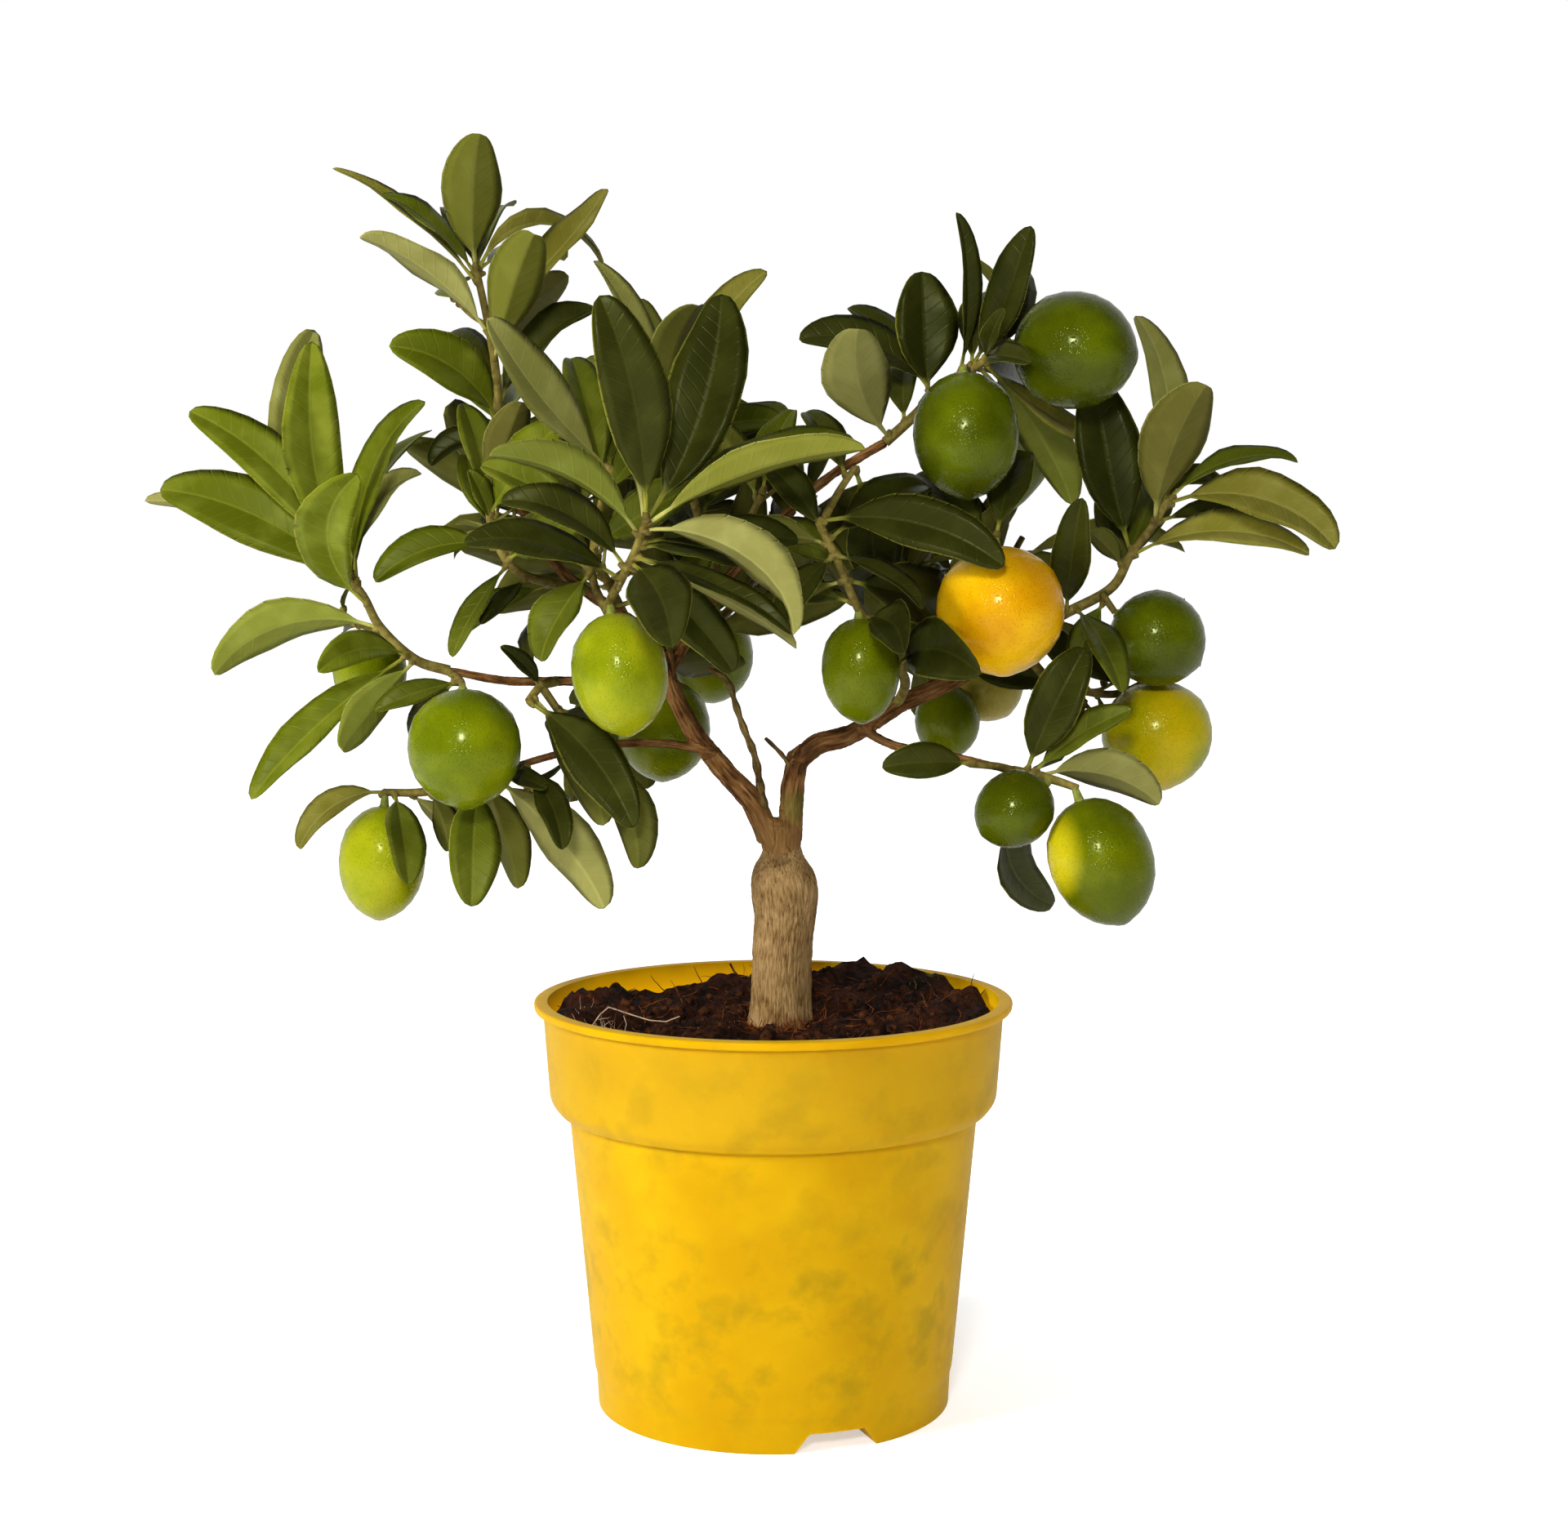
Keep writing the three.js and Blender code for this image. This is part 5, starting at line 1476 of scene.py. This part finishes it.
def grow_behind(shoot, wanted, lengths=BEHIND["length"], gap=None):
    """Sets the wanted leaves on the far side of a shoot, where those before it cover them."""
    turn, grown = next(draws) * 360, 0
    for attempt in range(wanted * BEHIND["tries"]):
        if grown == wanted:
            break
        turn += BEHIND["turn"] + (next(draws) - 0.5) * BEHIND["turn_spread"]
        share = 1 - BEHIND["down"] * ((attempt * GOLDEN) % 1)
        spread = math.radians(between(BEHIND["spread"]))
        length = between(lengths)
        width = length * between(BEHIND["slender"])
        growth = shoot["curve"].tangent(share)
        across = np.cross((0, 0, 1), growth)
        around = Matrix.Rotation(math.radians(turn), 3, Vector(growth))
        outward = np.array(around @ Vector(across).normalized())
        direction = growth * math.cos(spread) + outward * math.sin(spread)
        direction[2] -= BEHIND["droop"]
        direction /= np.linalg.norm(direction)
        upper = growth - direction * growth.dot(direction)
        if np.linalg.norm(upper) < 0.15:
            upper = np.array((0, 0, 1)) - direction * direction[2]
        upper /= np.linalg.norm(upper)
        bend = between(BEHIND["bend"])
        leaf = make_leaf(shoot, share, direction, (length, width), upper, upper, bend)
        tip = leaf_places(leaf, np.array([1.0]), np.array([0.0]))[0]
        samples = leaf_places(leaf, SAMPLE_SHARES, SAMPLE_SPANS)
        if tip[1] < BEHIND["foremost"] or not is_hidden(samples, gap) or not is_clear(leaf):
            continue
        keep(leaf, False)
        grown += 1


for shoot in shoots:
    grow_behind(shoot, shoot.get("hidden", 0))

# Every shoot forks again by the same rule into fine twigs with two or three young leaves, within
# the reach of the leaves before them
FINE = dict(forks=5, length=(12, 26), lift=0.15, radii=(1, 0.7), leaves=3, leaf=(18, 36), gap=2)
for shoot in list(shoots):
    for _ in range(FINE["forks"]):
        share, turn = 0.25 + 0.75 * next(draws), next(draws) * math.tau
        reach = between(FINE["length"])
        foot, growth = shoot["curve"].at(share), shoot["curve"].tangent(share)
        across = Vector(np.cross((0, 0, 1), growth)).normalized()
        outward = np.array(Matrix.Rotation(turn, 3, Vector(growth)) @ across)
        heading = growth * 0.6 + outward * 0.8
        end = foot + (heading + np.array((0, 0, FINE["lift"]))) * reach
        curve = Curve([foot, foot + heading * reach * 0.5, end])
        places = curve.at(np.linspace(0.3, 1, 9))
        if not is_hidden(places, FINE["gap"]) or any(near_fruit(places, fruit) for fruit in fruits):
            continue
        twig = dict(curve=curve, mass=shoot["mass"], tone=shoot["tone"], radii=FINE["radii"])
        twig["run"] = tube_run(curve, FINE["radii"], 2)
        shoots.append(twig)
        grow_behind(twig, FINE["leaves"], FINE["leaf"], FINE["gap"])

# Rows along a blade and spans across it: finer for the leaves of the plan
SEEN_GRID = (
    (0, 0.07, 0.14, 0.2, 0.28, 0.37, 0.47, 0.57, 0.67, 0.77, 0.85, 0.91, 0.955, 0.985),
    (-1, -0.62, -0.12, 0, 0.12, 0.62, 1),
)
BEHIND_GRID = ((0, 0.14, 0.24, 0.38, 0.54, 0.7, 0.84, 0.93, 0.98), (-1, -0.5, 0, 0.5, 1))
LOOK_SEED = 11


def blade_width(leaf, share):
    """The leaf's half width: a thin winged stalk, then a blade that ends in a blunt tip."""
    run = np.clip((share - STALK_SHARE) / (1 - STALK_SHARE), 0, 1)
    blade = leaf["width"] / 2 * np.abs(np.sin(np.pi * run**1.03)) ** (0.9 - 0.42 * run)
    return np.maximum(blade, 0.8 * (1 - 0.9 * run))


def blade_skins(leaf, grid):
    """A leaf's upper and lower skin, its tip, and its own maps in mm and in shares."""
    shares, spans = np.meshgrid(*grid, indexing="ij")
    rib, upper, side = leaf_frame(leaf, shares)
    # The edge is a little uneven, and waves up and down once or twice along the blade
    uneven = np.sin(shares * leaf["waves"] * 0.8 + leaf["phase"] + (spans < 0) * 2.2)
    half = blade_width(leaf, shares) * (1 + 0.045 * uneven)
    rib = rib + side * (leaf["sway"] * leaf["length"] * np.sin(np.pi * shares))[..., None]
    reach = np.abs(spans) * half
    fold = leaf["fold"] * np.clip(shares / STALK_SHARE - 0.3, 0, 1)
    wave = np.sin(shares * leaf["waves"] + leaf["phase"] + (spans > 0) * 1.7)
    wave = leaf["wave"] * wave * np.abs(spans) ** 3
    curl = -leaf["curl"] * np.clip((shares - 0.68) / 0.32, 0, 1) ** 2
    lift = reach * np.sin(fold) - 0.1 * reach * np.abs(spans) + wave * half + curl * leaf["length"]
    out = (np.sign(spans) * reach * np.cos(fold))[..., None]
    middle = rib + side * out + upper * lift[..., None]
    normal = upper * np.cos(fold)[..., None] - side * (np.sign(spans) * np.sin(fold))[..., None]
    stalk = np.clip(1.6 - shares / STALK_SHARE, 0, 1)
    bulge = np.sqrt(np.maximum(1 - spans**2, 0))
    thick = (0.16 + 0.5 * stalk) * bulge
    vein = 0.45 * (1 - shares) * (np.abs(spans) < 0.05)
    tip, tip_upper, _ = leaf_frame(leaf, np.array([1.0]))
    return (
        middle + normal * thick[..., None],
        middle - normal * (thick + vein)[..., None],
        tip[0] - leaf["curl"] * leaf["length"] * tip_upper[0],
        np.stack([spans * half, shares * leaf["length"]], axis=-1),
        np.stack([spans * 0.5 + 0.5, shares], axis=-1),
    )


def blade_topology(grid):
    """Faces of one leaf, upper then lower: quads between the rows and triangles at the tip."""
    rows, columns = len(grid[0]), len(grid[1])
    upper = np.arange(rows * columns).reshape(rows, columns)
    lower = upper.copy()
    lower[:, 1:-1] = rows * columns + np.arange(rows * (columns - 2)).reshape(rows, columns - 2)
    tip = rows * columns + rows * (columns - 2)
    faces = {True: [], False: []}
    for r in range(rows - 1):
        for c in range(columns - 1):
            faces[True].append([upper[r, c], upper[r, c + 1], upper[r + 1, c + 1], upper[r + 1, c]])
            faces[False].append(
                [lower[r, c], lower[r + 1, c], lower[r + 1, c + 1], lower[r, c + 1]]
            )
    for c in range(columns - 1):
        faces[True].append([upper[-1, c], upper[-1, c + 1], tip])
        faces[False].append([lower[-1, c], tip, lower[-1, c + 1]])
    faces[False].append([*upper[0][::-1], *lower[0, 1:-1]])
    return faces[True] + faces[False], len(faces[True]), tip + 1


def joined_leaves(name, chosen, grid, slots):
    """All chosen leaves as one mesh, with a slot for each skin of each tone."""
    faces, upper_count, count = blade_topology(grid)
    places, blade_mm, blade, tints, loops, kinds = [], [], [], [], [], []
    for i, leaf in enumerate(chosen):
        upper, lower, tip, in_mm, in_shares = blade_skins(leaf, grid)
        inner = (slice(None), slice(1, -1))
        flat = [part.reshape(-1, part.shape[-1]) for part in (upper, lower[inner], tip[None])]
        places.append(np.vstack(flat))
        maps = ((blade_mm, in_mm, (0, leaf["length"])), (blade, in_shares, (0.5, 1)))
        for store, field, at_tip in maps:
            store.append(np.vstack([field.reshape(-1, 2), field[inner].reshape(-1, 2), [at_tip]]))
        tints.append(np.full(count, leaf["tint"]))
        loops += [[int(corner) + i * count for corner in face] for face in faces]
        upper_slot, lower_slot = slots[leaf["tone"]]
        kinds += [upper_slot] * upper_count + [lower_slot] * (len(faces) - upper_count)
    mesh = bpy.data.meshes.new(name)
    mesh.from_pydata((np.vstack(places) * MM).tolist(), [], loops)
    corners = np.zeros(len(mesh.loops), int)
    mesh.loops.foreach_get("vertex_index", corners)
    for label, store in (("blade", blade), ("blade_mm", blade_mm)):
        mesh.uv_layers.new(name=label).uv.foreach_set("vector", np.vstack(store)[corners].ravel())
    mesh.attributes.new("tint", "FLOAT", "POINT").data.foreach_set("value", np.concatenate(tints))
    mesh.polygons.foreach_set("material_index", kinds)
    mesh.shade_smooth()
    return mesh


def leaf_material(name, blade_colour, vein_colour, rim_colour, gloss, vein_depth):
    """One side of a citrus leaf: waxy or matt, with a midrib, side veins 5 mm apart and a rim."""
    material, tree, shader, place = new_material(
        name, IOR=1.45, Specular_IOR_Level=0.15, Specular_Tint=(0.8, 0.85, 0.45, 1)
    )
    tint = add_node(tree, "Attribute", attribute_name="tint").outputs["Fac"]
    maps = (add_node(tree, "UVMap", uv_map=label).outputs["UV"] for label in ("blade_mm", "blade"))
    in_mm, in_shares = (add_node(tree, "SeparateXYZ", {"Vector": uv}) for uv in maps)
    # Side veins slant forward from the midrib every 5.2 mm and waver a little
    out = math_of(tree, "ABSOLUTE", in_mm.outputs["X"])
    slanted = math_of(tree, "MULTIPLY_ADD", out, -0.75, in_mm.outputs["Y"])
    ragged = math_of(tree, "MULTIPLY_ADD", clouds_of(tree, place, 130, 2), 2.4, slanted)
    near_vein = mapped(tree, math_of(tree, "PINGPONG", ragged, 2.6), 0.55, 0.05, smooth=True)
    near_rib = mapped(tree, out, 0.75, 0.2, smooth=True)
    # Lighter clouds about 13 mm wide, then the veins, then the yellowish rim and stalk
    clouds = clouds_of(tree, place, 75, 4)
    colour = mixed(
        tree, mapped(tree, clouds, 0.45, 0.8, high=0.6), paint(blade_colour), vein_colour
    )
    ribbed = math_of(tree, "MAXIMUM", near_rib, math_of(tree, "MULTIPLY", near_vein, 0.24))
    colour = mixed(tree, math_of(tree, "MULTIPLY", ribbed, 0.38), colour, vein_colour)
    off = math_of(tree, "ABSOLUTE", math_of(tree, "SUBTRACT", in_shares.outputs["X"], 0.5))
    at_stalk = mapped(tree, in_shares.outputs["Y"], 0.17, 0.1)
    edge = math_of(tree, "MAXIMUM", mapped(tree, off, 0.465, 0.5), at_stalk, use_clamp=True)
    colour = mixed(tree, math_of(tree, "MULTIPLY", edge, 0.7), colour, rim_colour)
    colour = add_node(tree, "HueSaturation", {"Color": colour, "Value": tint}).outputs["Color"]
    rough = mapped(tree, clouds, low=gloss - 0.06, high=gloss + 0.08)
    # Veins sunk into the upper side or raised on the lower, and a fine grain of 1 mm
    relief = math_of(tree, "MULTIPLY", near_vein, -0.35)
    relief = math_of(tree, "MULTIPLY_ADD", clouds_of(tree, place, 900, 2), 0.1, relief)
    surface(tree, shader, colour, rough, relief, abs(vein_depth), 0.6, invert=vein_depth < 0)
    return material


# Upper sides from dark to bright, then the undersides that go with them; the tones are dealt out by
# spray, partly as painted light: the dark tone is painted shade on the sprays in the middle and at
# the back, the bright one painted light on those at the left
LEAF_TONES = dict(
    dark=("#292b09", "#3f4214"), mid=("#464c0d", "#686d22"), olive=("#6a6520", "#918c46"),
    bright=("#525a0b", "#7d8329"), pale=("#868540", "#b0ae64"),
)
UNDER_TONES = dict(
    dark=("#4d4d1b", "#605f2a"), mid=("#62631f", "#737234"), olive=("#565220", "#6f6a32"),
    bright=("#6b7026", "#838a3c"), pale=("#7b783e", "#979556"),
)
leaf_materials, tone_slots = [], {}
for tone, (blade_colour, vein_colour) in LEAF_TONES.items():
    tone_slots[tone] = (len(leaf_materials), len(leaf_materials) + 1)
    leaf_materials += [
        leaf_material(f"leaf_upper_{tone}", blade_colour, vein_colour, "#8f8d34", 0.34, 0.35),
        leaf_material(f"leaf_under_{tone}", *UNDER_TONES[tone], "#a8a55a", 0.58, -0.3),
    ]
mass_names = [name for name, _ in CROWN]
# Each leaf's own fold, waves, sway, curled tip and brightness
look = np.random.default_rng(LOOK_SEED)
for leaf in leaves:
    leaf.update(
        fold=SEEN_FOLD * look.uniform(0.7, 1.25),
        wave=look.uniform(0.03, 0.13),
        waves=look.uniform(9, 16),
        phase=look.uniform(0, math.tau),
        sway=look.uniform(-0.025, 0.025),
        curl=look.uniform(0.0, 0.06),
        tint=look.uniform(0.78, 1.28),
    )
# The leaves of the plan are one piece, and those that the rule sets behind them another
LEAF_SETS = (("leaves_of_the_plan", True, SEEN_GRID), ("leaves_behind", False, BEHIND_GRID))
for name, seen, grid in LEAF_SETS:
    chosen = [leaf for leaf in leaves if leaf["seen"] == seen]
    piece = added(name, joined_leaves(name, chosen, grid, tone_slots))
    finished(piece, leaf_materials, mass_names)

# ---------------------------------------------------------------- The twigs
# Green to brown shoots of the last two seasons, thicker at each leaf's foot, with a bud in the
# fork. Tapering strands on the shoots' curves, with short finer twigs on them.
RIND_SLOT, STALK_SLOT = 0, 1
# A bud at a leaf's foot: distance along the leaf and radius (mm)
BUD = ((0, 1.5), (1.6, 1.5), (3.4, 0.8))
twig_runs = [(tube_run(shoot["curve"], shoot["radii"], 2.5), RIND_SLOT) for shoot in shoots]
for leaf in leaves:
    foot, along, rise = leaf["foot"], leaf["direction"], leaf["rise"] * 0.4
    bud = [(*(foot + along * reach + rise), size) for reach, size in BUD]
    twig_runs.append((bud, RIND_SLOT))
for fruit in fruits:
    stalk = fruit["top"] - fruit["foot"]
    places = [(*(fruit["foot"] + stalk * share), 1.2 + 0.6 * share) for share in (0, 0.5, 1)]
    twig_runs.append((places, STALK_SLOT))


def twig_material(name, dark, mid, light):
    """A young citrus shoot: fine streaks 1 to 3 mm long on green or brown rind."""
    material, tree, shader, place = new_material(name, IOR=1.45, Specular_IOR_Level=0.2)
    streaks = clouds_of(tree, place, 480, 5)
    banded = averaged(tree, 0.5, streaks, clouds_of(tree, place, 60, 2))
    colour = ramp(tree, banded, [(0.36, paint(dark)), (0.5, paint(mid)), (0.64, paint(light))])
    surface(tree, shader, colour, mapped(tree, streaks, low=0.45, high=0.8), streaks, 0.3, 0.6)
    return material


twigs = added("twigs", strands("twigs", twig_runs, sides=8))
finished(
    twigs,
    [
        twig_material("twig_rind", "#4a3d1a", "#6f6228", "#8b7c3c"),
        twig_material("fruit_stalk", "#5d6420", "#7d8534", "#9a9c4c"),
    ],
    mass_names,
)

# ---------------------------------------------------------------- The fruit
# Limequats from dark green to ripe orange-yellow: oval, glossy, finely pitted, with a small nipple
# at the free end and a green calyx at the stalk. One turned shape placed for each fruit.
FRUIT_PROFILE = (
    # share of the length from the stalk, share of the half width
    (0, 0), (0.004, 0.1), (0.02, 0.3), (0.06, 0.5), (0.13, 0.7), (0.22, 0.87), (0.35, 0.97),
    (0.48, 1), (0.6, 0.97), (0.72, 0.88), (0.82, 0.73), (0.9, 0.54), (0.95, 0.35), (0.975, 0.2),
    (0.99, 0.12), (1, 0),
)
template = bmesh.new()
verts = [template.verts.new((radius * 0.5, 0, share)) for share, radius in FRUIT_PROFILE]
edges = [template.edges.new(pair) for pair in zip(verts, verts[1:])]
bmesh.ops.spin(
    template, geom=verts + edges, axis=(0, 0, 1), angle=math.tau, steps=28, use_merge=True
)
bmesh.ops.remove_doubles(template, verts=template.verts, dist=1e-5)
bmesh.ops.recalc_face_normals(template, faces=template.faces)


def upright_to(axis):
    return Vector((0, 0, 1)).rotation_difference(Vector(axis)).to_matrix().to_4x4()


def hung(fruit):
    """The placement of the turned shape as one fruit, from the end of its stalk."""
    shape = Matrix.Diagonal((fruit["width"] * MM, fruit["width"] * MM, fruit["length"] * MM, 1))
    return Matrix.Translation(Vector(fruit["top"]) * MM) @ upright_to(fruit["axis"]) @ shape


RIND_ROUGHNESS = 0.18


def fruit_material(name, rind, shade, blush):
    """Citrus rind: glossy, with oil pits just under 1 mm apart, a slow change of colour and a
    painted lit side.
    """
    material, tree, shader, place = new_material(
        name,
        IOR=1.46,
        Specular_IOR_Level=0.3,
        Specular_Tint=(0.85, 0.95, 0.45, 1),
        Subsurface_Weight=0.1,
        Subsurface_Radius=(1.0, 0.8, 0.2),
        Subsurface_Scale=0.003,
    )
    clouds = clouds_of(tree, place, 38, 3)
    colour = ramp(tree, clouds, [(0.34, paint(shade)), (0.5, paint(rind)), (0.68, paint(blush))])
    # Painted light: yellower on the side towards the key light
    painted_light = add_node(tree, "Attribute", attribute_name="painted_light").outputs["Fac"]
    colour = mixed(tree, mapped(tree, painted_light, 0.6, 0.95, high=0.8, smooth=True), colour, "#c4b512")
    pits = add_node(tree, "TexVoronoi", {"Vector": place, "Scale": 950}).outputs["Distance"]
    dots = mapped(tree, pits, end=0.45)
    darker = mapped(tree, dots, low=0.86, high=1.02)
    colour = add_node(tree, "HueSaturation", {"Color": colour, "Value": darker}).outputs["Color"]
    rough = mapped(tree, clouds, low=RIND_ROUGHNESS - 0.05, high=RIND_ROUGHNESS + 0.08)
    surface(tree, shader, colour, rough, dots, 0.4, 0.35)
    return material


# Rinds in the order of ripening, with their colour, shade and blush; each fruit takes the nearest
RINDS = (
    (0.05, "#424a02", "#363d02", "#556004"),
    (0.15, "#5a6302", "#4b5402", "#6c7406"),
    (0.25, "#6b7604", "#586403", "#838a0a"),
    (0.4, "#848c0a", "#6c7606", "#9c9c12"),
    (0.6, "#9c9404", "#78800a", "#b8a008"),
    (0.75, "#a0903a", "#857a2a", "#b39f48"),
    (0.97, "#dca606", "#ca8e04", "#e6b612"),
)
fruit_materials = [fruit_material(f"rind_{i}", *colours) for i, (_, *colours) in enumerate(RINDS)]
piece = added("fruit", scattered(template, [hung(fruit) for fruit in fruits]))
# Painted light: the side towards the key light at the front left is painted yellower
PAINTED_LIGHT_SIDE = np.array((-0.95, -0.28, 0.1))
offsets = np.zeros(len(piece.data.vertices) * 3)
piece.data.vertices.foreach_get("co", offsets)
centres = np.array([fruit["centre"] for fruit in fruits])
offsets = offsets.reshape(len(fruits), -1, 3) / MM - centres[:, None]
offsets /= np.linalg.norm(offsets, axis=2)[..., None]
painted_light_share = offsets @ PAINTED_LIGHT_SIDE * np.array([fruit["painted_light"] for fruit in fruits])[:, None]
piece.data.attributes.new("painted_light", "FLOAT", "POINT").data.foreach_set("value", painted_light_share.ravel())
stages = np.array([rind[0] for rind in RINDS])
slots = [int(np.argmin(np.abs(stages - fruit["ripeness"]))) for fruit in fruits]
finished(piece, fruit_materials, mass_names)
piece.data.polygons.foreach_set("material_index", np.repeat(slots, len(template.faces)))
template.free()

# The calyxes: green five-pointed collars between stalk and fruit
collar = bmesh.new()
bmesh.ops.create_cone(collar, cap_ends=True, segments=10, radius1=3.4, radius2=1.6, depth=1.6)
for vert in collar.verts:
    corner = round(math.atan2(vert.co.y, vert.co.x) / (math.tau / 10)) % 2
    if vert.co.z < 0 and corner:
        vert.co.xy *= 0.62
calyx_places = []
for fruit in fruits:
    seat = Matrix.Translation(Vector(fruit["top"] + fruit["axis"] * 0.5) * MM)
    calyx_places.append(seat @ upright_to(-fruit["axis"]) @ Matrix.Scale(MM, 4))
calyxes = added("calyxes", scattered(collar, calyx_places))
collar.free()
finished(calyxes, [twig_material("calyx", "#6a7028", "#8f9440", "#aaa85a")], mass_names)

# ---------------------------------------------------------------- The floor, light and camera
# A plain white floor under even studio light: a broad soft box at the front left, a small one in
# front that glints on the fruit, a weak one at the right, and a white room behind.
floor = bmesh.new()
bmesh.ops.create_grid(floor, x_segments=1, y_segments=1, size=6)
floor = added("floor", mesh_from(floor, "floor"))
material, tree, shader, place = new_material(
    "white_paper", Roughness=0.9, Base_Color=paint("#f6f6f6"), Emission_Color=grey(1)
)
# Lamps under the paper keep it as white as the wall, less so near the pot
apart = add_node(tree, "VectorMath", {0: place}, operation="LENGTH").outputs["Value"]
lit = mapped(tree, apart, 0.06, 0.32, 0.5, 0.95, smooth=True)
# The plant sees the paper dimmer than the camera does
seen = add_node(tree, "LightPath").outputs["Is Camera Ray"]
glow = math_of(tree, "MULTIPLY", lit, mapped(tree, seen, low=0.29))
tree.links.new(glow, shader.inputs["Emission Strength"])
floor.data.materials.append(material)

scene = bpy.context.scene
scene.view_settings.view_transform = "Standard"
world = bpy.data.worlds.new("white_room")
scene.world = world
world.use_nodes = True
tree = world.node_tree
background = tree.nodes["Background"]
background.inputs["Strength"].default_value = 1
# The room is white behind the plant and dim on the camera's side
towards = add_node(tree, "SeparateXYZ", {"Vector": add_node(tree, "TexCoord").outputs["Generated"]})
backdrop = mapped(tree, towards.outputs["Y"], -0.2, 0.85, 0.02, 0.75, smooth=True)
seen = add_node(tree, "LightPath").outputs["Is Camera Ray"]
tree.links.new(math_of(tree, "MAXIMUM", seen, backdrop), background.inputs["Color"])


def soft_box(name, place, target, size, power, glints=False):
    light = bpy.data.lights.new(name, "AREA")
    light.shape = "RECTANGLE"
    light.size, light.size_y = size
    light.energy = power
    holder = added(name, light)
    holder.location = place
    holder.rotation_euler = (Vector(target) - Vector(place)).to_track_quat("-Z", "Y").to_euler()
    holder.visible_glossy = glints


soft_box("box_left", (-1.3, -0.85, 0.85), (0, 0, 0.25), (0.45, 0.5), 25)
soft_box("box_front", (-0.1, -1.3, 0.75), (0, 0, 0.3), (0.18, 0.18), 10.5, glints=True)
soft_box("box_right", (1.4, -0.4, 0.6), (0, 0, 0.25), (0.6, 0.9), 3)

# The camera stands a metre off, a little above the crown's middle, and looks down by 4.93 degrees
camera_data = bpy.data.cameras.new("camera")
camera_data.lens = 61.875
camera_data.sensor_width = 36
camera = added("camera", camera_data)
camera.location = VIEWPOINT * MM
camera.rotation_euler = (math.radians(90 - 4.93), 0, 0)
scene.camera = camera
